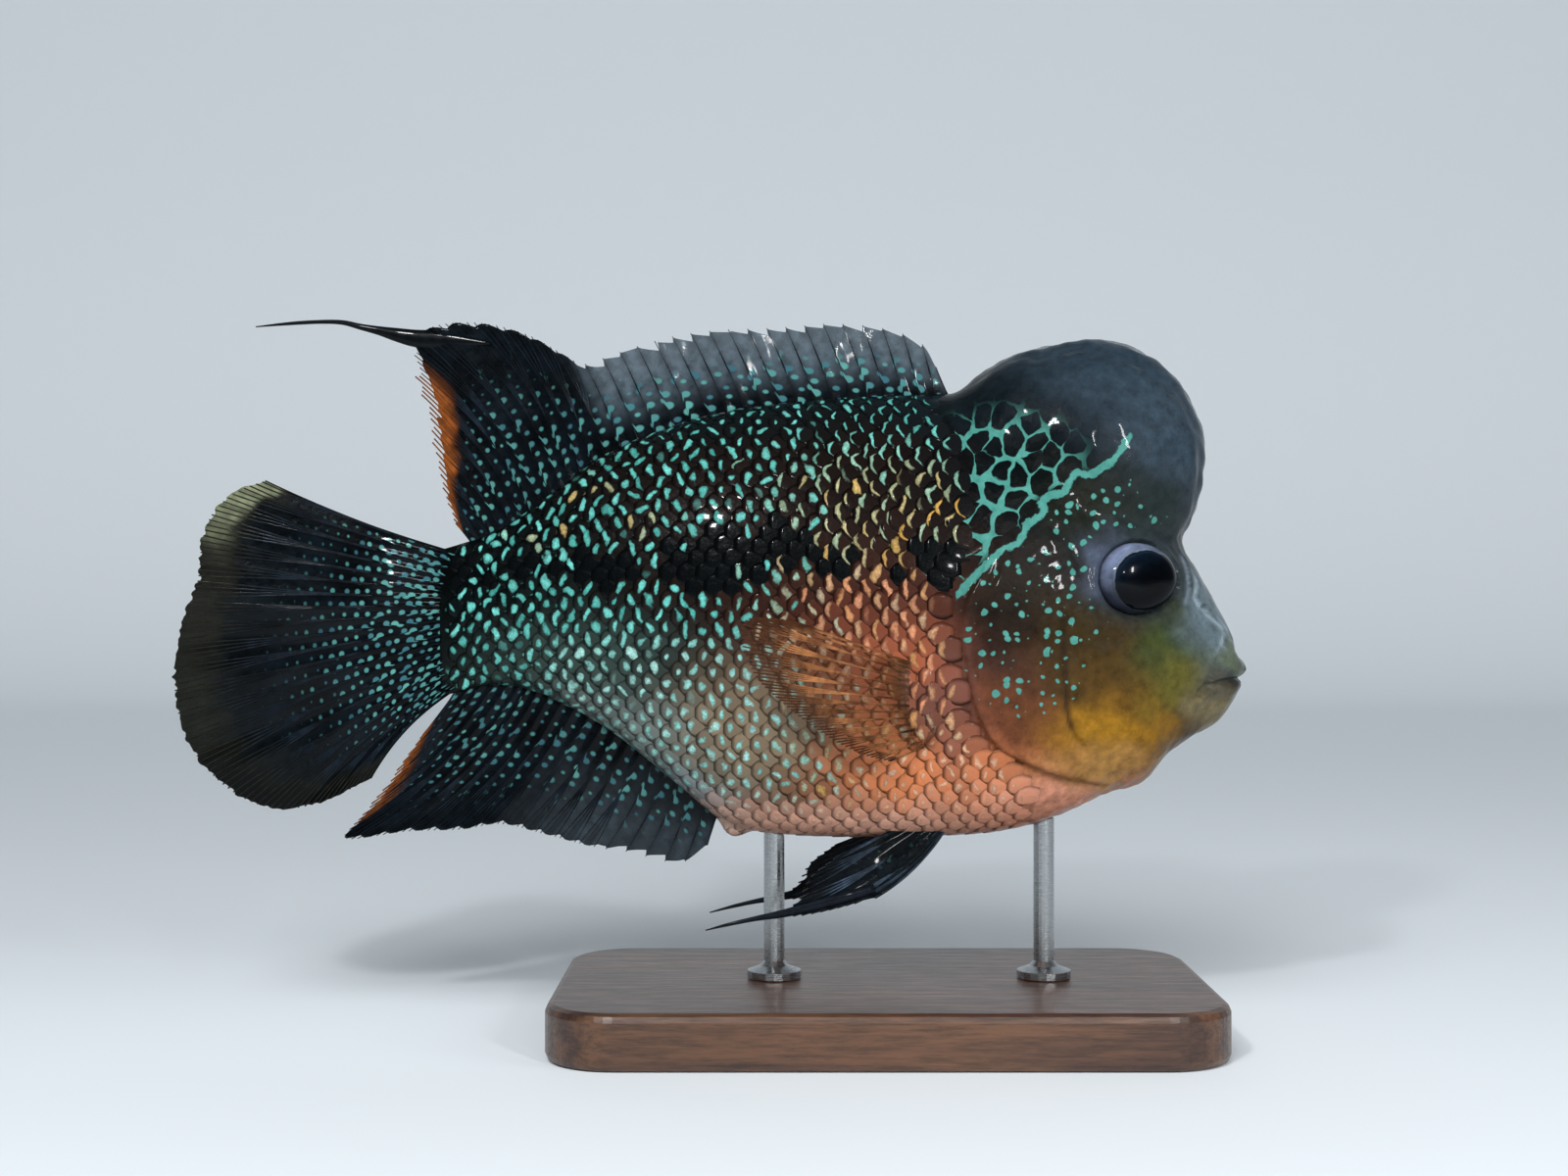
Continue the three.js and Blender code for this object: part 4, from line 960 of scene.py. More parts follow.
def grid_faces(wide, high, closed=False):
    """Quads of a grid stored column by column; closed joins the last column to the first."""
    c = np.arange(wide if closed else wide - 1)
    r = np.arange(high - 1)
    c, r = (g.ravel() for g in np.meshgrid(c, r, indexing="ij"))
    n = (c + 1) % wide
    return np.column_stack([c * high + r, n * high + r, n * high + r + 1, c * high + r + 1])


def tube_faces(rings, sides):
    """Faces of a closed tube: its points ring by ring, then the far end's point and the near end's."""
    ring, side = (g.ravel() for g in np.meshgrid(np.arange(rings - 1), np.arange(sides), indexing="ij"))
    after = (side + 1) % sides
    quads = np.column_stack([
        ring * sides + side, ring * sides + after, (ring + 1) * sides + after, (ring + 1) * sides + side])
    k = np.arange(sides)
    last, count = (rings - 1) * sides, rings * sides
    far_cap = np.column_stack([last + k, last + (k + 1) % sides, np.full(sides, count)])
    near_cap = np.column_stack([(k + 1) % sides, k, np.full(sides, count + 1)])
    return quads.tolist() + far_cap.tolist() + near_cap.tolist()


def make_skin(chart):
    """The one skin of head, hump, trunk and tail, with what its material draws on it."""
    rings, tip = rings_of_skin()
    tail = np.array([[TAIL_X, 0, STATIONS[0, 4]]])
    points = np.concatenate([rings.reshape(-1, 3), tip[None], tail])
    faces = tube_faces(len(rings), RING_SIDES)
    x, y, z = points.T
    border, share = from_route(BRIGHT_LINE, x, z)
    net = smoothstep(most_of(NET_PATCHES, x, z), 0.15, 0.75) * smoothstep(border, 0.4, 2.2)
    net *= smoothstep(np.abs(y), 3, 8)
    dots = smoothstep(most_of(DOT_PATCHES, x, z), 0.05, 0.5) * smoothstep(-border, 0.8, 2.4)
    # None on the socket of the eye
    dots *= smoothstep(np.hypot(x - 49.5, z - 92.5), 9.2, 10.5)
    line = np.abs(border) + 0.9 * smoothstep(np.abs(share - 0.5), 0.44, 0.5)
    pearl, pearl_colour, ground = skin_marks(points, chart)
    return link_mesh("skin_of_fish", points, faces, wet_skin_material(), {
        "ground": ground, "fields": np.column_stack([line, net, dots]),
        "pearl": pearl, "pearl_colour": pearl_colour})


# The seed of each flank's marks: left and right differ as on a living fish
FLANKS = {1: 41, -1: 11}


def skin_marks(points, chart):
    """The scales' marks and grounds on the skin under them, from the nearest scale's."""
    x, y, z = points.T
    ground = with_painted_crease_light(ground_colour(x, y, z), x, z)
    pearl = np.zeros(len(points))
    colour = np.zeros((len(points), 3))
    for side, seed in FLANKS.items():
        seats = scale_seats(chart, seed)
        marks = choose_marks(seats, seed + 1)
        tree = KDTree(len(seats))
        for i, seat in enumerate(seats):
            tree.insert((seat[2] - MIDDLE_BEHIND, seat[3], seat[4]), i)
        tree.balance()
        under = np.flatnonzero((x < gill_edge_x(z) - 1) & (x < 30) & (y * side >= 0))
        for i in under:
            _, k, far = tree.find((x[i], abs(y[i]), z[i]))
            if far > MARK_REACH:
                continue
            p = x[i] - (seats[k, 2] - SCALE_LENGTH + ROOT_AHEAD)
            q = math.copysign(math.hypot(abs(y[i]) - seats[k, 3], z[i] - seats[k, 4]), z[i] - seats[k, 4])
            pearl[i] = mark_amount(marks, np.array([k]), np.array([p]), np.array([q]))[0]
            colour[i] = marks["colour"][k]
            ground[i] = marks["ground"][k] * 0.6
    return pearl, colour, ground


def make_scales(name, chart, side, seed, material):
    """The scales of one flank as one mesh of thin, overlapping plates, rounded to the rear."""
    seats = scale_seats(chart, seed)
    marks = choose_marks(seats, seed + 1)
    rng = np.random.default_rng(seed + 2)
    along, across = 6, 7
    v = np.linspace(0, 1, along)
    u = np.linspace(-1, 1, across)
    vv, uu = np.meshgrid(v, u, indexing="ij")
    half = np.sqrt(np.clip(1 - ((np.maximum(vv, 0.42) - 0.42) / 0.62) ** 2, 0.02, 1))
    half *= 0.72 + 0.28 * smoothstep(vv, 0, 0.4)
    n = len(seats)
    squeeze = row_squeeze(seats[:, 0])[:, None, None]
    grow = (rng.uniform(0.95, 1.06, n))[:, None, None] * squeeze
    p = SCALE_LENGTH * vv[None] * grow - ROOT_AHEAD
    q = 0.5 * SCALE_HEIGHT * (uu * half)[None] * grow
    x = seats[:, 0][:, None, None] - p
    a = seats[:, 1][:, None, None] * row_squeeze(x) / squeeze + q
    point, normal = chart.read(x, a)
    lift = rng.uniform(0.85, 1.15, n)[:, None, None]
    height = -0.14 + (0.3 * vv[None] + 0.08 * (1 - uu**2)[None] * np.sin(math.pi * vv)[None]) * lift
    height = height - 0.07 * (np.abs(uu)[None] ** 3) * vv[None]
    top = point + normal * height[..., None]
    bottom = point + normal * (height - SCALE_THICKNESS)[..., None]
    top[..., 1] *= side
    bottom[..., 1] *= side
    each = along * across
    points = np.concatenate([top.reshape(n, each, 3), bottom.reshape(n, each, 3)], axis=1).reshape(-1, 3)
    r, c = (g.ravel() for g in np.meshgrid(np.arange(along - 1), np.arange(across - 1), indexing="ij"))
    corner = r * across + c
    quad = np.column_stack([corner, corner + 1, corner + across + 1, corner + across])
    rim_ids = np.concatenate([
        np.arange(across), np.arange(1, along) * across + across - 1,
        (along - 1) * across + np.arange(across - 2, -1, -1), np.arange(along - 2, 0, -1) * across])
    after = np.roll(rim_ids, -1)
    rim = np.column_stack([after, rim_ids, rim_ids + each, after + each])
    one = np.concatenate([quad, quad[:, ::-1] + each, rim])
    if side < 0:
        one = one[:, ::-1]
    faces = (one[None] + (np.arange(n) * 2 * each)[:, None, None]).reshape(-1, 4)
    tip = SCALE_LENGTH * grow - ROOT_AHEAD
    level = lambda values: np.broadcast_to(values, (n, along, across)).reshape(n, each)
    sideways = level(q)
    e = level(tip - p) + marks["tilt"][:, None] * sideways - marks["place"][:, None]
    middle = level(np.minimum(1 - np.abs(uu), 2.2 * (1 - vv)))
    spot = np.stack([e, sideways, middle], axis=2)
    twice = lambda values: np.concatenate([values, values], axis=1).reshape(2 * n * each, -1)
    spread = lambda values: np.repeat(values, 2 * each, axis=0)
    scales = link_mesh(name, points, faces, material, {
        "ground": spread(marks["ground"]), "shape": spread(marks["shape"]), "spot": twice(spot),
        "strength": spread(marks["strength"]), "pearl_colour": spread(marks["colour"])})
    # Each scale takes a small patch of the bake map, where its seat lies on the flank laid out flat
    map_corner, map_size, patch_size = (-92, -68), (130, 136), 0.003
    home = ((seats[:, :2] - map_corner) / map_size)[:, None]
    patch = np.stack([vv - 0.5, uu / 2], axis=-1).reshape(1, each, 2) * patch_size
    places = np.concatenate([home + patch, home + patch], axis=1).reshape(-1, 2)
    uv = scales.data.uv_layers.new(name="OFBake")
    loops = np.empty(len(scales.data.loops), dtype=int)
    scales.data.loops.foreach_get("vertex_index", loops)
    uv.data.foreach_set("uv", places[loops].ravel().astype(np.float32))
    return scales


# Fin rays as [root X, tip X, tip Z, bend, sideways lean at the tip]; the root's height is the body's
ROOT_SINK = 3
DORSAL_RAYS = [
    [14.4, 11, 135.6, 0, 0], [11.4, 8, 140.4, 0, 0.3], [5.6, 1, 143.4, 0.02, 0.6],
    [-3.4, -9.6, 144.4, 0.03, 0.8], [-15, -22, 143.6, 0.03, 0.6], [-31, -39.4, 142.4, 0.03, 0],
    [-46.4, -54.4, 138.2, 0.04, -0.7], [-52.6, -60.4, 136, 0.05, -1], [-56.2, -65, 138.2, 0.06, -0.6],
    [-60, -72.6, 142.4, 0.08, 0.2], [-63.4, -82, 144.8, 0.12, 1.2], [-66.2, -91, 144.4, 0.14, 2],
    [-68.8, -95.6, 141.4, 0.15, 2.4], [-71.2, -94, 135.2, 0.13, 2], [-73.6, -92, 128.8, 0.1, 1.2],
    [-76, -90.8, 122.6, 0.08, 0.4], [-78.2, -90, 116, 0.05, -0.2], [-80.2, -88.8, 109.8, 0.02, -0.4],
    [-82, -86.6, 103.4, 0, -0.2],
]
# Trailing threads as [X, Y, Z, half height, half thickness]
DORSAL_STREAMER = [
    [-80, 1, 140.6, 0.3, 0.2], [-86, 1.6, 141.2, 1.2, 0.4], [-91, 2, 141.5, 1.9, 0.5],
    [-95.6, 2.3, 141.8, 1.8, 0.5], [-99.6, 2.5, 142.6, 1.4, 0.5],
    [-103, 2.7, 143.4, 0.95, 0.45], [-106.8, 2.8, 144.2, 0.65, 0.4],
    [-110.6, 2.7, 145.1, 0.5, 0.35], [-115, 2.4, 145.2, 0.42, 0.3], [-121, 1.8, 144.8, 0.36, 0.26],
    [-128, 0.8, 144, 0.12, 0.1],
]
ANAL_RAYS = [
    [-33.2, -35.6, 38.2, 0, 0], [-35.8, -40.4, 34.8, 0.03, 0.4], [-38.8, -45, 35, 0.05, 0.8],
    [-43, -52, 36.8, 0.05, 0.9], [-48, -60, 38, 0.05, 0.5], [-53.6, -69, 40.4, 0.06, -0.3],
    [-60, -77.6, 42.6, 0.07, -1], [-65, -86, 41.4, 0.09, -1.2], [-70, -97, 41, 0.12, -0.6],
    [-74.4, -109.6, 39.4, 0.14, 0.5], [-77.4, -105.6, 44.4, 0.12, 0.9], [-80.2, -101, 50, 0.09, 0.8],
    [-82.4, -97, 55.8, 0.06, 0.5], [-84.6, -93.4, 61, 0.03, 0.2],
]
CAUDAL_ROOT_X = -87
CAUDAL_RAYS = [
    [97.4, -126.6, 112.8, 0.04, 1], [95.6, -132.6, 110.4, 0.03, 0.4], [93.6, -137.2, 106.2, 0.02, -0.4],
    [91.4, -139.2, 100.6, 0.01, -1.2], [88.8, -140, 91.6, 0, -1.8], [86.2, -143.2, 83.6, 0, -1.8],
    [83.6, -144.6, 74.6, -0.01, -1.2], [81, -144.6, 65.6, -0.02, -0.2], [78.4, -141.4, 56.6, -0.03, 0.8],
    [76, -134, 48.8, -0.05, 1.6], [73.8, -125.4, 45, -0.07, 2], [71.8, -115.4, 46.2, -0.1, 1.6],
    [70.4, -104.6, 51.4, -0.12, 0.8],
]
PECTORAL_RAYS = [
    [[9.6, 19.6, 74.2], [-19, 29.6, 84.6]], [[9.4, 19.7, 72.4], [-27, 31.4, 84.6]],
    [[9.2, 19.8, 70.6], [-27.8, 31.2, 79.4]], [[9, 19.8, 68.8], [-25, 30.4, 73.4]],
    [[8.8, 19.7, 67], [-20, 29.2, 68.4]], [[8.6, 19.5, 65.2], [-14.6, 27.8, 64.2]],
    [[8.5, 19.2, 63.4], [-9.4, 26.2, 60.8]], [[8.4, 18.8, 61.6], [-4, 24.4, 58.2]],
    [[8.3, 18.3, 60], [0.6, 22.2, 57]],
]
PECTORAL_NORMAL = np.array([0.28, 0.94, 0.19])
PELVIC_RAYS = [
    [[13.2, 5.6, 44], [8, 8, 34], [-1.8, 10.4, 28.8]], [[12.8, 5.6, 44.2], [4, 9.2, 31], [-14, 11.8, 26]],
    [[12.4, 5.4, 44.6], [2, 8.8, 33.6], [-19.6, 12, 25.6]],
    [[11.8, 5.2, 45], [0, 8.2, 36], [-17, 11.6, 28.8]],
    [[11.2, 5, 45.4], [-2, 7.6, 38.2], [-14.6, 11, 33]],
    [[10.6, 4.8, 45.8], [-1, 7, 40.4], [-9.4, 10, 37]],
]
PELVIC_NORMAL = np.array([0.1, 0.93, 0.36])
PELVIC_STREAMER = [
    [-2, 10.2, 30.6, 1, 0.6], [-8, 11.2, 29, 1.2, 0.6], [-14, 11.8, 27.4, 1.1, 0.5],
    [-20, 12.2, 26, 0.8, 0.4], [-26, 12.3, 24.9, 0.5, 0.3], [-31, 12.2, 23.8, 0.35, 0.25],
    [-35.6, 12, 22.6, 0.12, 0.1],
]


def bent_middle(root, tip, bend):
    """The middle of a ray in the XZ plane, moved sideways by a share of its length."""
    (x0, z0), (x1, z1) = root, tip
    return (x0 + x1) / 2 - bend * (z0 - z1), (z0 + z1) / 2 - bend * (x1 - x0)


def median_rays(table, upper):
    """Root, middle and tip of each ray of a fin on the back or the belly."""
    rays = []
    for root_x, tip_x, tip_z, bend, lean in table:
        top, bottom, _, _ = read_rows(STATIONS, np.array(float(root_x)))
        root = (root_x, float(top) - ROOT_SINK if upper else float(bottom) + ROOT_SINK)
        middle = bent_middle(root, (tip_x, tip_z), bend * (1 if tip_z > root[1] else -1))
        rays.append([(root[0], 0, root[1]), (middle[0], lean * 0.35, middle[1]), (tip_x, lean, tip_z)])
    return np.array(rays, dtype=float)


def caudal_rays():
    """Root, middle and tip of each ray of the tail fin."""
    rays = []
    for root_z, tip_x, tip_z, bend, lean in CAUDAL_RAYS:
        middle = bent_middle((CAUDAL_ROOT_X, root_z), (tip_x, tip_z), -bend)
        rays.append([(CAUDAL_ROOT_X, 0, root_z), (middle[0], lean * 0.2, middle[1]), (tip_x, lean, tip_z)])
    return np.array(rays, dtype=float)


class Fin:
    """A fin's middle sheet: u counts across its rays from 0 to 1, v runs out along them."""

    def __init__(self, rays, normal):
        self.rays = rays
        self.normal = np.asarray(normal) / np.linalg.norm(normal)
        self.rows = np.column_stack([np.linspace(0, 1, len(rays)), rays.reshape(len(rays), 9)])

    def point(self, u, v):
        """Places on the sheet."""
        track = np.moveaxis(read_rows(self.rows, u), 0, -1)
        root, middle, tip = track[..., 0:3], track[..., 3:6], track[..., 6:9]
        v = v[..., None]
        return root * (1 - v) ** 2 + middle * 2 * v * (1 - v) + tip * v**2

    def places(self, share):
        """The u at shares of the way across the fin, measured half way out."""
        u = np.linspace(0, 1, 400)
        walk = np.linalg.norm(np.diff(self.point(u, np.full(400, 0.55)), axis=0), axis=1)
        walk = np.concatenate([[0], np.cumsum(walk)])
        return np.interp(share, walk / walk[-1], u)

    def length(self, u):
        """How long the sheet is along v."""
        steps = np.linspace(0, 1, 9)
        uu, vv = np.meshgrid(u, steps, indexing="ij")
        walk = np.linalg.norm(np.diff(self.point(uu, vv), axis=1), axis=2)
        return walk.sum(axis=1)


def fin_wave(look, ray, v):
    """How far the sheet swings sideways, in millimetres, at a ray number and a share of its length."""
    return look.get("wave", 0.35) * np.sin(ray * 1.3 + v * 4) * smoothstep(v, 0.1, 0.8)


def make_membrane(name, fin, material, look):
    """The skin of a fin as one closed thin sheet, sagging a little between its rays."""
    count, high = look["count"], look.get("high", 60)
    share = np.linspace(0, 1, (count - 1) * STEPS_PER_RAY + 1)
    ray, vv = np.meshgrid(share * (count - 1), np.linspace(0, 1, high), indexing="ij")
    uu = fin.places(ray / (count - 1))
    between = np.abs(((ray + 0.5) % 1) - 0.5) * 2
    behind = 1 - (ray % 1)
    rng = np.random.default_rng(look["seed"])
    steps = np.arange(count * 5)
    ragged = np.interp(share * (count - 1) * 5, steps, rng.uniform(0, 1, count * 5))[:, None]
    spiny = 1 - smoothstep(uu, *look.get("spiny", (-2, -1)))
    soft_notch = look["notch"] * between**1.5 + look.get("torn", 0) * ragged * fringe(look, uu)
    each = rng.uniform(0.1, 1.7, count)[np.minimum(ray.astype(int), count - 1)]
    spine_notch = look.get("spine_notch", 0) * each * behind**0.8 * (ray % 1 > 0)
    vr = vv * (1 - soft_notch * (1 - spiny) - spine_notch * spiny)
    middle = fin.point(uu, vr)
    wave = fin_wave(look, ray, vr)
    thick = look["root"] + (look["edge"] - look["root"]) * smoothstep(vr, 0, look.get("thin_by", 0.7))
    thick = thick * (1 - 0.5 * between)
    front = middle + fin.normal * (wave + thick / 2)[..., None]
    back = middle + fin.normal * (wave - thick / 2)[..., None]
    size = ray.size
    points = np.concatenate([front.reshape(-1, 3), back.reshape(-1, 3)])
    quads = grid_faces(len(share), high)
    ids = np.arange(size).reshape(len(share), high)
    rim = np.concatenate([ids[:, 0], ids[-1, 1:], ids[-2::-1, -1], ids[0, -2:0:-1]])
    after = np.roll(rim, -1)
    edge = np.column_stack([rim, after, after + size, rim + size])
    faces = np.concatenate([quads[:, ::-1], quads + size, edge])
    length = fin.length(uu[:, 0])[:, None]
    stagger = 0.5 * (np.floor(ray) % 2)
    lie = np.stack([ray + 0.5, length * vr / look.get("pitch", 2.6) + stagger, vr], axis=2)
    ground, strength, clear = look["paint"](uu, vr, middle)
    # Painted shade along the rays, darkest at each ray and fading half way to the next
    ground = ground * (1 - 0.45 * ((1 - between) ** 2)[..., None])
    double = lambda values: np.concatenate([values.reshape(size, -1)] * 2)
    return link_mesh(name, points, faces, material, {
        "ground": double(ground), "lie": double(lie), "strength": double(strength)[:, 0],
        "clear": double(clear)[:, 0]})


def fringe(look, u):
    """1 where a fin's free edge is frayed, 0 where it is whole."""
    return smoothstep(u, *look.get("torn_at", (-1, 0)))


def ray_rods(name, fin, look, material):
    """Fin rays as tapered rods along the sheet, split towards their tips, drawn by a node tree."""
    count = look["count"]
    rng = np.random.default_rng(look["seed"] + 50)
    points, edges, radii, colours = [], [], [], []
    dark, light = linear(look["ray_dark"]), linear(look["ray_pale_and_glint"])
    tip = linear(look.get("ray_fringe", look["ray_dark"]))
    for i in range(count):
        u0 = float(fin.places(i / (count - 1)))
        splits = u0 >= look.get("fork_from", 0)
        frayed = float(fringe(look, np.array(u0)))
        for spread in (-1.5, -0.5, 0.5, 1.5) if splits else (0,):
            over = look.get("over", 0.0) + frayed * look.get("fray", 0) * rng.uniform(0.2, 1)
            over = over if splits else look.get("spine_over", over)
            v = np.linspace(0.02, 1 + over, 26)
            opened = splits * smoothstep(v, 0.35, 1.0) * spread / 4
            ray = np.clip(i + opened, 0, count - 1)
            path = fin.point(fin.places(ray / (count - 1)), v)
            path = path + fin.normal * fin_wave(look, ray, v)[:, None]
            radius = look["ray_root"] * (1 - 0.55 * smoothstep(v, 0, 0.5))
            radius = radius + (look["ray_tip"] + 0.07 * frayed - radius) * smoothstep(v, 0.3, 1.0)
            start = len(points)
            points.extend(path.tolist())
            radii.extend(radius.tolist())
            edges.extend((start + k, start + k + 1) for k in range(len(path) - 1))
            # Each ray runs between its dark and pale colours along its length; on the breast fin the pale
            # stretches are partly painted glints of the wet rays
            shade = (0.5 + 0.5 * ripple(v * 40, v * 0 + i, v * 0, 9, i))[:, None]
            amber = (frayed * smoothstep(v, 0.72, 0.88))[:, None]
            colours.extend((dark + (light - dark) * shade) * (1 - amber) + tip * amber)
    mesh = bpy.data.meshes.new(name)
    mesh.from_pydata((np.array(points) * MM).tolist(), edges, [])
    mesh.attributes.new("ray_radius", "FLOAT", "POINT").data.foreach_set("value", np.array(radii) * MM)
    tints = mesh.attributes.new("ray_colour", "FLOAT_VECTOR", "POINT")
    tints.data.foreach_set("vector", np.array(colours, dtype=np.float32).ravel())
    obj = bpy.data.objects.new(name, mesh)
    bpy.context.collection.objects.link(obj)
    return rods_from_threads(obj, material, bpy.context.scene.flowerhorn_shape.rod_sides)


def make_blade(name, route, material, colour):
    """A trailing thread of a fin: flat, from [X, Y, Z, half height, half thickness] rows."""
    rows = np.array(route, dtype=float)
    t = np.linspace(0, len(rows) - 1, (len(rows) - 1) * 5 + 1)
    fine = np.stack(read_rows(np.column_stack([np.arange(len(rows)), rows]), t), axis=1)
    ahead = np.gradient(fine[:, :3], axis=0)
    ahead /= np.linalg.norm(ahead, axis=1)[:, None]
    across = np.cross(ahead, [0, 1, 0])
    across /= np.linalg.norm(across, axis=1)[:, None]
    outward = np.cross(across, ahead)
    sides = 12
    turn = np.linspace(0, 2 * math.pi, sides, endpoint=False)
    ring = np.cos(turn)[None, :, None] * (across * fine[:, 3:4])[:, None]
    ring = ring + np.sin(turn)[None, :, None] * (outward * fine[:, 4:5])[:, None]
    points = np.concatenate([(fine[:, None, :3] + ring).reshape(-1, 3), fine[-1:, :3], fine[:1, :3]])
    tint = np.tile(linear(colour), (len(points), 1))
    blade = link_mesh(name, points, tube_faces(len(fine), sides), material, {"ray_colour": tint})
    outward_faces(blade)
    return blade


def outward_faces(obj):
    """Turns a closed mesh's faces so that they point out."""
    mesh = bmesh.new()
    mesh.from_mesh(obj.data)
    bmesh.ops.recalc_face_normals(mesh, faces=mesh.faces)
    mesh.to_mesh(obj.data)
    mesh.free()


def rod_tree(material):
    """A node tree that turns threads into round rods of the radius they carry."""
    tree = bpy.data.node_groups.new("Rods from threads", "GeometryNodeTree")
    tree.interface.new_socket("Geometry", in_out="INPUT", socket_type="NodeSocketGeometry")
    sides = tree.interface.new_socket("Sides of a rod", in_out="INPUT", socket_type="NodeSocketInt")
    share = tree.interface.new_socket("Thickness share", in_out="INPUT", socket_type="NodeSocketFloat")
    sides.default_value = 6
    share.default_value = 1
    tree.interface.new_socket("Geometry", in_out="OUTPUT", socket_type="NodeSocketGeometry")
    start = add(tree, "NodeGroupInput")
    radius = add(tree, "GeometryNodeInputNamedAttribute", {"data_type": "FLOAT"}, {"Name": "ray_radius"})
    scaled = add(tree, "ShaderNodeMath", {"operation": "MULTIPLY"}, {
        0: radius.outputs["Attribute"], 1: start.outputs["Thickness share"]})
    curves = add(tree, "GeometryNodeMeshToCurve", inputs={"Mesh": start.outputs["Geometry"]})
    sized = add(tree, "GeometryNodeSetCurveRadius", inputs={
        "Curve": curves.outputs[0], "Radius": scaled.outputs[0]})
    profile = add(tree, "GeometryNodeCurvePrimitiveCircle", inputs={
        "Resolution": start.outputs["Sides of a rod"], "Radius": 1})
    rods = add(tree, "GeometryNodeCurveToMesh", inputs={
        "Curve": sized.outputs[0], "Profile Curve": profile.outputs[0], "Fill Caps": True})
    if "Scale" in rods.inputs:
        tree.links.new(scaled.outputs[0], rods.inputs["Scale"])
    smooth = add(tree, "GeometryNodeSetShadeSmooth", inputs={0: rods.outputs[0]})
    real = add(tree, "GeometryNodeRealizeInstances", inputs={0: smooth.outputs[0]})
    painted = add(tree, "GeometryNodeSetMaterial", inputs={0: real.outputs[0], "Material": material})
    add(tree, "NodeGroupOutput", inputs={0: painted.outputs[0]})
    return tree, sides.identifier


def rods_from_threads(obj, material, sides):
    """Threads turned into one plain mesh of rods."""
    tree, socket = rod_tree(material)
    modifier = obj.modifiers.new("Rods", "NODES")
    modifier.node_group = tree
    modifier[socket] = sides
    evaluated = obj.evaluated_get(bpy.context.evaluated_depsgraph_get())
    mesh = bpy.data.meshes.new_from_object(evaluated)
    obj.modifiers.remove(modifier)
    obj.data = mesh
    return obj


def dark_fin_paint(name):
    """Ground colour, spot strength and clearness over one dark fin, from its own coordinates."""
    black, blue = linear("#020406"), linear("#070f15")
    grey, amber = linear("#4b5760"), linear("#7b4013")
    olive, cream = linear("#15150f"), linear("#747a60")

    def paint(u, v, at):
        x, z = at[..., 0], at[..., 2]
        wobble = 0.03 * ripple(x, x * 0, z, 7, 61)
        colour = np.broadcast_to(black, (*u.shape, 3))
        colour = towards(colour, blue, 0.75 * (0.5 + 0.5 * ripple(x, x * 0, z, 16, 62)))
        clear = np.zeros(u.shape)
        strength = 0.75 * (1 - smoothstep(v + wobble, 0.5, 0.85)) * smoothstep(v, 0.02, 0.12)
        if name == "dorsal":
            spiny = 1 - smoothstep(u, 0.34, 0.46)
            colour = towards(colour, grey, spiny * smoothstep(v, 0.2, 0.75) * 0.85)
            strength = strength * (1 + 0.35 * spiny * (1 - smoothstep(v, 0.5, 0.8)))
            strength = strength * (1 - 0.45 * (1 - spiny) * smoothstep(z, 124, 134))
            rear = smoothstep(u, 0.69, 0.76) * smoothstep(v + 2 * wobble, 0.74, 0.88)
            colour = towards(colour, amber, rear)
            clear = np.maximum(0.3 * spiny * smoothstep(v, 0.45, 0.9), rear * 0.2)
        if name == "pelvic":
            strength = strength * 0.15
        if name == "anal":
            rear = smoothstep(u, 0.72, 0.8) * smoothstep(v + wobble, 0.86, 0.94)
            colour = towards(colour, amber, rear)
            front = 1 - smoothstep(u, 0.3, 0.5)
            colour = towards(colour, grey, front * smoothstep(v, 0.2, 0.8) * 0.25)
            clear = np.maximum(rear * 0.25, 0.15 * front * smoothstep(v, 0.5, 1))
        if name == "caudal":
            strength = 1.3 * (1 - smoothstep(v + wobble, 0.1, 0.78))
            edge = smoothstep(v + wobble, 0.8, 0.9)
            colour = towards(colour, olive, edge * 0.85)
            corner = smoothstep(v + wobble, 0.84, 0.92) * (1 - smoothstep(u + wobble, 0.12, 0.3))
            colour = towards(colour, cream, corner * 0.9)
            low = smoothstep(u, 0.62, 0.74)
            colour = towards(colour, black, low * edge)
            clear = edge * (1 - low) * 0.15
        return colour, strength, clear
    return paint


def pectoral_paint(u, v, at):
    """The breast fin's ground, its spots, of which it has none, and its clearness."""
    brown, pink = linear("#5a3a20"), linear("#6a4c44")
    root = 1 - smoothstep(v, 0.05, 0.25)
    return towards(brown, pink, root), np.zeros(u.shape), 1 - 0.9 * root


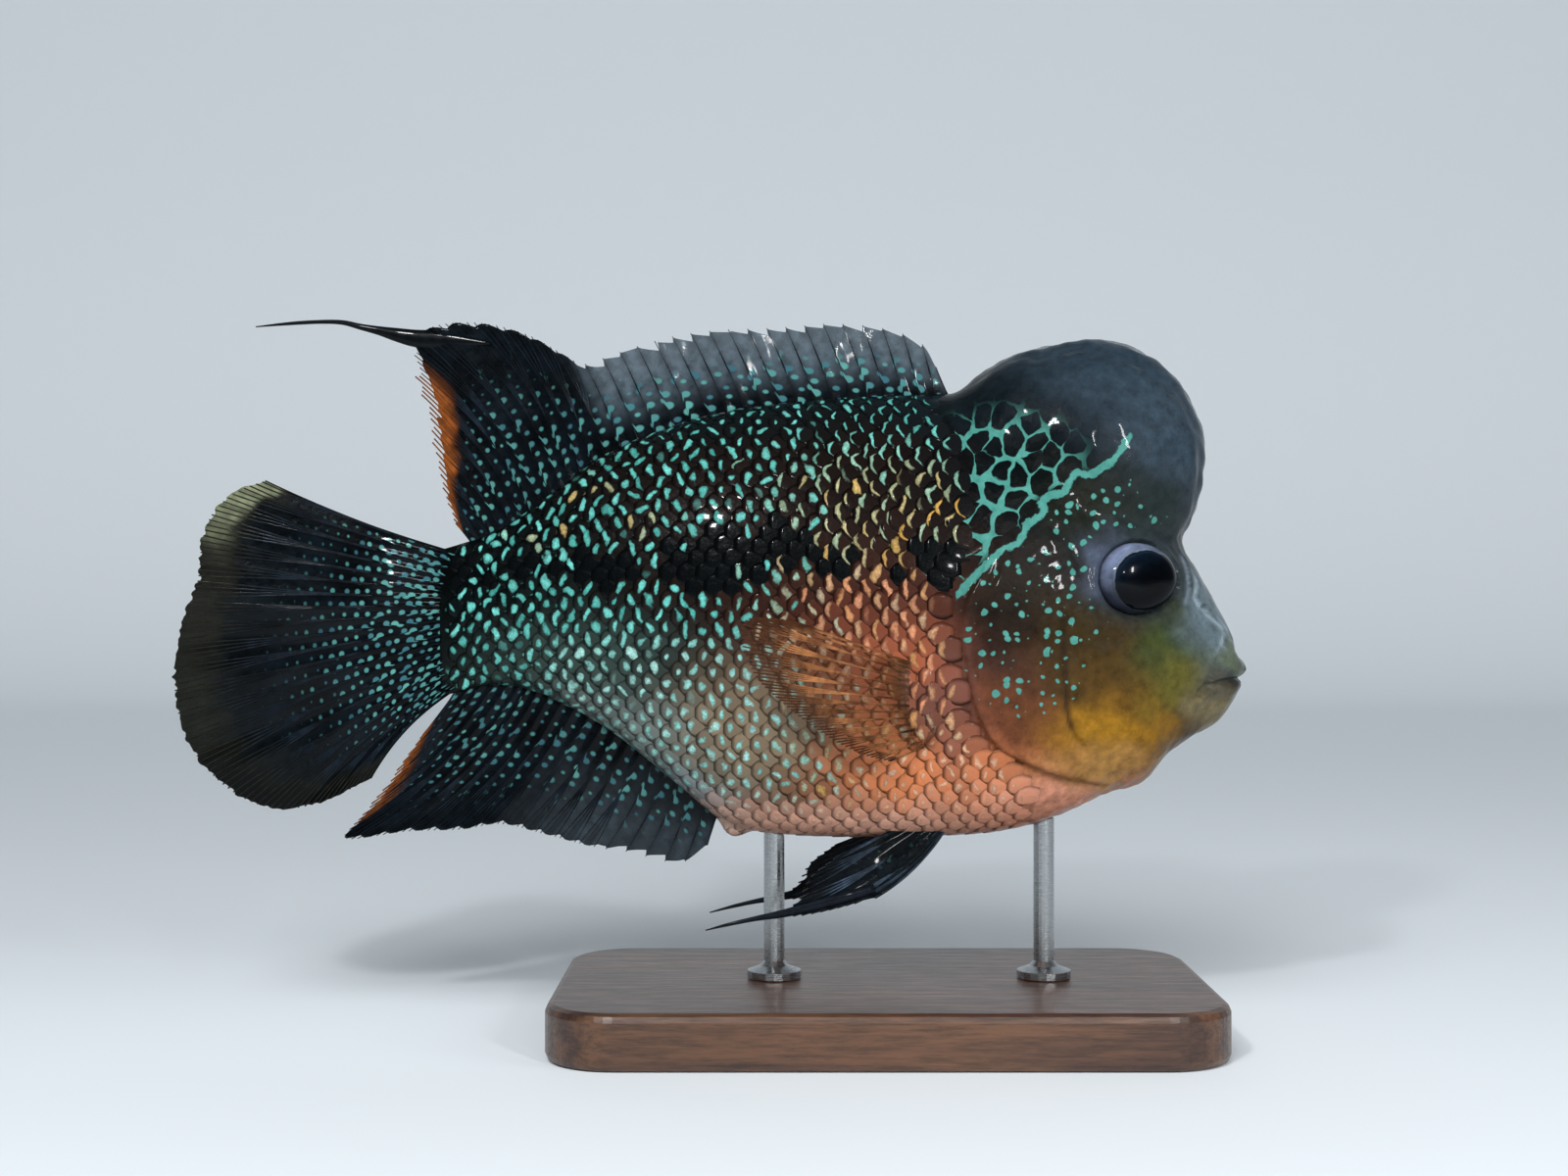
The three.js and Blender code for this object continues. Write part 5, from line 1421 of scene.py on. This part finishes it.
def make_eye(name, side, material):
    """One eyeball: a flattened ball with a slight cornea, its pupil a little forward and low."""
    around, deep = 96, 48
    turn = np.linspace(0, 2 * math.pi, around, endpoint=False)
    down = np.linspace(0, math.pi, deep + 2)[1:-1]
    tt, dd = np.meshgrid(turn, down, indexing="ij")
    ball = np.stack([np.sin(dd) * np.cos(tt), np.cos(dd), np.sin(dd) * np.sin(tt)], axis=2)
    poles = np.array([[0.0, 1, 0], [0, -1, 0]])
    unit = np.concatenate([ball.reshape(-1, 3), poles])
    off_axis = np.hypot(unit[:, 0], unit[:, 2])
    full = np.sign(unit[:, 1]) * (1 - off_axis**2.5) ** 0.4
    shaped = np.column_stack([unit[:, 0], full, unit[:, 2]]) * EYE_RADII
    ahead, out = np.array([math.cos(EYE_TURN), -math.sin(EYE_TURN), 0]), EYE_AXIS
    placed = shaped[:, :1] * ahead + shaped[:, 1:2] * out + shaped[:, 2:] * np.array([0, 0, 1])
    placed = placed + EYE_CENTRE
    placed[:, 1] *= side
    k = np.arange(around)
    n = (k + 1) % around
    quads = grid_faces(around, deep, closed=True)
    top = np.column_stack([k * deep, n * deep, np.full(around, len(unit) - 2)])
    low = np.column_stack([n * deep + deep - 1, k * deep + deep - 1, np.full(around, len(unit) - 1)])
    faces = quads[:, ::-1].tolist() + top.tolist() + low.tolist()
    if side < 0:
        faces = [face[::-1] for face in faces]
    # The pupil's edge is at a share of 0.7, and the ring has painted light: brighter above and to the rear
    (pupil_ahead, pupil_up), (half_width, half_height) = (0.7, -0.3), (6.8, 5.9)
    ahead_mm, up_mm = shaped[:, 0] - pupil_ahead, shaped[:, 2] - pupil_up
    share = 0.7 * np.hypot(ahead_mm / half_width, up_mm / half_height)
    share = np.where(unit[:, 1] > 0, share, 1.2)
    bright = 0.1 + 0.68 * smoothstep(0.9 * up_mm - 0.45 * ahead_mm, 0, 8)
    iris = np.column_stack([share, np.arctan2(up_mm, ahead_mm) / math.pi, bright])
    return link_mesh(name, placed, faces, material, {"iris": iris})


def dress(piece):
    """Attaches a finished piece to the body it rides on."""
    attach(piece, "root")


class FlowerhornShape(bpy.types.PropertyGroup):
    """Sizes that a user would change."""

    rod_sides: bpy.props.IntProperty(
        name="Sides of a fin ray", description="Sides of each fin ray's rod", default=6, min=3, max=16)
    camera_distance: bpy.props.FloatProperty(
        name="Camera distance", description="From the camera to the fish's middle plane",
        default=0.45, unit="LENGTH")
    frame_width: bpy.props.FloatProperty(
        name="Frame width", description="Width of the picture at the fish's middle plane",
        default=0.32, unit="LENGTH")
    floor_size: bpy.props.FloatProperty(
        name="Floor size", description="Length of the studio floor", default=8.0, unit="LENGTH")


class FlowerhornColours(bpy.types.PropertyGroup):
    """Colours that a user would change."""

    floor: bpy.props.FloatVectorProperty(
        name="Floor", description="Colour of the studio floor", subtype="COLOR", size=3,
        default=tuple(linear("#dde4e9")))


class FISH_OT_skin(bpy.types.Operator):
    """Makes the one skin over head, hump, trunk and tail"""

    bl_idname = "fish.skin"
    bl_label = "Skin"

    def execute(self, context):
        skin = make_skin(Chart())
        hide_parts("head", "nuchal_hump", "trunk", "tail")
        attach(skin, "root")
        return {"FINISHED"}


class FISH_OT_scales(bpy.types.Operator):
    """Lays the scales of both flanks"""

    bl_idname = "fish.scales"
    bl_label = "Scales"

    def execute(self, context):
        chart = Chart()
        material = scale_material()
        for name, side in (("scales_left", 1), ("scales_right", -1)):
            scales = make_scales(name, chart, side, FLANKS[side], material)
            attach(scales, "root")
        return {"FINISHED"}


class FISH_OT_eyes(bpy.types.Operator):
    """Sets both eyes in their sockets"""

    bl_idname = "fish.eyes"
    bl_label = "Eyes"

    def execute(self, context):
        material = eye_material()
        for name, node, side in (("eyeball_left", "eye_left", 1), ("eyeball_right", "eye_right", -1)):
            eye = make_eye(name, side, material)
            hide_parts(node)
            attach(eye, "root")
        return {"FINISHED"}


class FISH_OT_median_fins(bpy.types.Operator):
    """Spreads the dorsal, anal and tail fins"""

    bl_idname = "fish.median_fins"
    bl_label = "Dorsal, anal and tail fins"

    def execute(self, context):
        membrane = membrane_material("wet dark fin membrane", 0.35)
        bone = ray_material()
        flat = (0, 1, 0)
        shared = {
            "root": 1.1, "edge": 0.2, "ray_root": 0.6, "ray_tip": 0.1,
            "ray_dark": "#020406", "ray_pale_and_glint": "#101820", "ray_fringe": "#5c3110",
        }
        fins = (
            ("dorsal", "dorsal_fin", Fin(median_rays(DORSAL_RAYS, True), flat), {
                "count": 34, "notch": 0.03, "torn": 0.09, "torn_at": (0.69, 0.76), "fray": 0.1,
                "spiny": (0.36, 0.44), "spine_notch": 0.06, "spine_over": 0.01, "fork_from": 0.4,
                "seed": 3,
            }),
            ("anal", "anal_fin", Fin(median_rays(ANAL_RAYS, False), flat), {
                "count": 22, "notch": 0.03, "torn": 0.05, "torn_at": (0.72, 0.8), "fray": 0.05,
                "spiny": (0.2, 0.34), "spine_notch": 0.05, "spine_over": 0.01, "fork_from": 0.3,
                "seed": 4,
            }),
            ("caudal", "caudal_fin", Fin(caudal_rays(), flat), {
                "count": 22, "notch": 0.008, "torn": 0.022, "root": 3.1,
                "thin_by": 0.4, "over": -0.015, "seed": 5, "high": 90, "pitch": 2.3,
                "ray_fringe": "#16160f",
            }),
        )
        for name, node, fin, look in fins:
            look = {**shared, **look, "paint": dark_fin_paint(name)}
            sheet = make_membrane(name + "_membrane", fin, membrane, look)
            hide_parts(node)
            dress(sheet)
            dress(ray_rods(name + "_rays", fin, look, bone))
        dress(make_blade("dorsal_streamer", DORSAL_STREAMER, bone, "#04070a"))
        return {"FINISHED"}


class FISH_OT_paired_fins(bpy.types.Operator):
    """Spreads the breast and belly fins"""

    bl_idname = "fish.paired_fins"
    bl_label = "Breast and belly fins"

    def execute(self, context):
        clear = membrane_material("wet clear fin membrane", 0.1)
        dark = membrane_material("wet dark belly fin membrane", 0.5)
        bone = ray_material()
        # The breast fin's pale ray colour is partly a painted highlight, for the glints on its wet rays
        breast_look = {
            "count": 15, "notch": 0.03, "torn": 0.03, "seed": 7, "root": 0.9,
            "edge": 0.12, "ray_root": 0.36, "ray_tip": 0.1, "wave": 0.2, "paint": pectoral_paint,
            "ray_dark": "#3a2010", "ray_pale_and_glint": "#8c5c38",
        }
        belly_look = {
            "count": 6, "notch": 0.03, "torn": 0.02, "fork_from": 0.1, "seed": 8,
            "root": 1.4, "edge": 0.2, "ray_root": 0.6, "ray_tip": 0.12, "wave": 0.2,
            "paint": dark_fin_paint("pelvic"), "ray_dark": "#070b10", "ray_pale_and_glint": "#2a3542",
        }
        for side, word in ((1, "left"), (-1, "right")):
            flip = np.array([1, side, 1])
            breast = np.array([
                [root, (np.array(root) + tip) / 2 + [0, 0.8, 0], tip] for root, tip in PECTORAL_RAYS])
            belly = np.array(PELVIC_RAYS)
            for kind, rays, normal, look, skin, slot in (
                ("pectoral", breast, PECTORAL_NORMAL, breast_look, clear, "fin_clear"),
                ("pelvic", belly, PELVIC_NORMAL, belly_look, dark, "fin_dark"),
            ):
                fin = Fin(rays * flip, normal * flip)
                sheet = make_membrane(f"{kind}_membrane_{word}", fin, skin, look)
                outward_faces(sheet)
                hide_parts(f"{kind}_fin_{word}")
                dress(sheet)
                dress(ray_rods(f"{kind}_rays_{word}", fin, look, bone))
            trail = [[x, y * side, z, high, thick] for x, y, z, high, thick in PELVIC_STREAMER]
            dress(make_blade(f"pelvic_streamer_{word}", trail, bone, "#0b1017"))
        return {"FINISHED"}


class FISH_OT_stand(bpy.types.Operator):
    """Finishes the walnut base and the steel rods"""

    bl_idname = "fish.stand"
    bl_label = "Display stand"

    def execute(self, context):
        walnut, steel = walnut_material(), steel_material()
        for node, material in (
            ("stand_base", walnut), ("stand_rod_front", steel), ("stand_rod_rear", steel),
        ):
            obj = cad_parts[node]
            for slot in obj.material_slots:
                slot.material = material
        return {"FINISHED"}


# Middle of the picture, and the height that the lamps face, in metres
PICTURE_X = -0.02
PICTURE_Z = 0.0906
LAMP_AIM_Z = 0.09


class FISH_OT_stage(bpy.types.Operator):
    """Sets the pale floor, the soft lights and the camera"""

    bl_idname = "fish.stage"
    bl_label = "Floor, lights and camera"

    def execute(self, context):
        shape = context.scene.flowerhorn_shape
        self.floor(shape.floor_size, context.scene.flowerhorn_colours.floor)
        self.sun(1.5)
        for name, place, size, power, mirrored in (
            ("front softbox", (-0.3, -0.7, 0.75), (0.4, 0.4), 3.6, False),
            ("side softbox", (0.8, -0.45, 0.35), (0.35, 0.35), 2, False),
            ("glint lamp high", (-0.22, -0.55, 0.42), (0.045, 0.045), 1.5, True),
            ("glint strip", (0.25, -0.5, 0.25), (0.03, 0.1), 1, True),
            ("glint lamp near", (0.09, -0.5, 0.22), (0.02, 0.02), 0.2, True),
        ):
            self.softbox(name, place, size, power, mirrored)
        world = bpy.data.worlds.new("studio air")
        world.use_nodes = True
        world.node_tree.nodes["Background"].inputs["Color"].default_value = rgba("#e4ebf0")
        world.node_tree.nodes["Background"].inputs["Strength"].default_value = 0.16
        context.scene.world = world
        context.scene.view_settings.view_transform = "Standard"
        data = bpy.data.cameras.new("camera")
        data.sensor_width = 36
        data.lens = 36 * shape.camera_distance / shape.frame_width
        camera = bpy.data.objects.new("camera", data)
        camera.location = (PICTURE_X, -shape.camera_distance, PICTURE_Z)
        camera.rotation_euler = (math.radians(90), 0, 0)
        context.collection.objects.link(camera)
        context.scene.camera = camera
        return {"FINISHED"}

    def floor(self, size, colour):
        """A floor that curves up behind into a wall."""
        back, radius = 1.2, 0.5
        turns = np.linspace(0, math.pi / 2, 24)
        arc = [(back + radius * math.sin(t), radius * (1 - math.cos(t))) for t in turns]
        profile = [(-size / 2, 0), *arc, (back + radius, 3)]
        points = [(s * size / 2 / MM, y / MM, z / MM) for s in (-1, 1) for y, z in profile]
        n = len(profile)
        faces = [(k, k + n, k + n + 1, k + 1) for k in range(n - 1)]
        material, _, _ = new_material("matte studio paper", {
            "Base Color": (*colour, 1), "Roughness": 0.8})
        link_mesh("floor", points, faces, material)

    def sun(self, strength):
        """A broad even light from above and in front, which also reaches the backdrop."""
        data = bpy.data.lights.new("ceiling light", "SUN")
        data.energy = strength
        data.angle = math.radians(30)
        lamp = bpy.data.objects.new("ceiling light", data)
        lamp.rotation_euler = (math.radians(57), math.radians(-12), 0)
        lamp.visible_glossy = False
        bpy.context.collection.objects.link(lamp)

    def softbox(self, name, place, size, power, mirrored):
        """A lamp that faces the fish, and is mirrored in its wet skin or not."""
        data = bpy.data.lights.new(name, "AREA")
        data.shape = "RECTANGLE"
        data.size, data.size_y = size
        data.energy = power
        lamp = bpy.data.objects.new(name, data)
        lamp.location = place
        lamp.visible_glossy = mirrored
        aim = Vector((PICTURE_X, 0, LAMP_AIM_Z)) - Vector(place)
        lamp.rotation_euler = aim.to_track_quat("-Z", "Y").to_euler()
        bpy.context.collection.objects.link(lamp)


class FISH_PT_panel(bpy.types.Panel):
    """Lists the pieces of the fish in the sidebar"""

    bl_label = "Flowerhorn"
    bl_space_type = "VIEW_3D"
    bl_region_type = "UI"
    bl_category = "Flowerhorn"

    def draw(self, context):
        for operator in OPERATORS:
            self.layout.operator(operator.bl_idname)
        for group in (context.scene.flowerhorn_shape, context.scene.flowerhorn_colours):
            for key in group.bl_rna.properties.keys():
                if key not in ("rna_type", "name"):
                    self.layout.prop(group, key)


OPERATORS = (
    FISH_OT_skin, FISH_OT_scales, FISH_OT_eyes, FISH_OT_median_fins, FISH_OT_paired_fins,
    FISH_OT_stand, FISH_OT_stage,
)
CLASSES = (FlowerhornShape, FlowerhornColours, *OPERATORS, FISH_PT_panel)


def register():
    for cls in CLASSES:
        bpy.utils.register_class(cls)
    bpy.types.Scene.flowerhorn_shape = bpy.props.PointerProperty(type=FlowerhornShape)
    bpy.types.Scene.flowerhorn_colours = bpy.props.PointerProperty(type=FlowerhornColours)


def unregister():
    del bpy.types.Scene.flowerhorn_colours
    del bpy.types.Scene.flowerhorn_shape
    for cls in reversed(CLASSES):
        bpy.utils.unregister_class(cls)


def main():
    register()
    for operator in OPERATORS:
        group, name = operator.bl_idname.split(".")
        getattr(getattr(bpy.ops, group), name)()


if __name__ == "__main__":
    main()
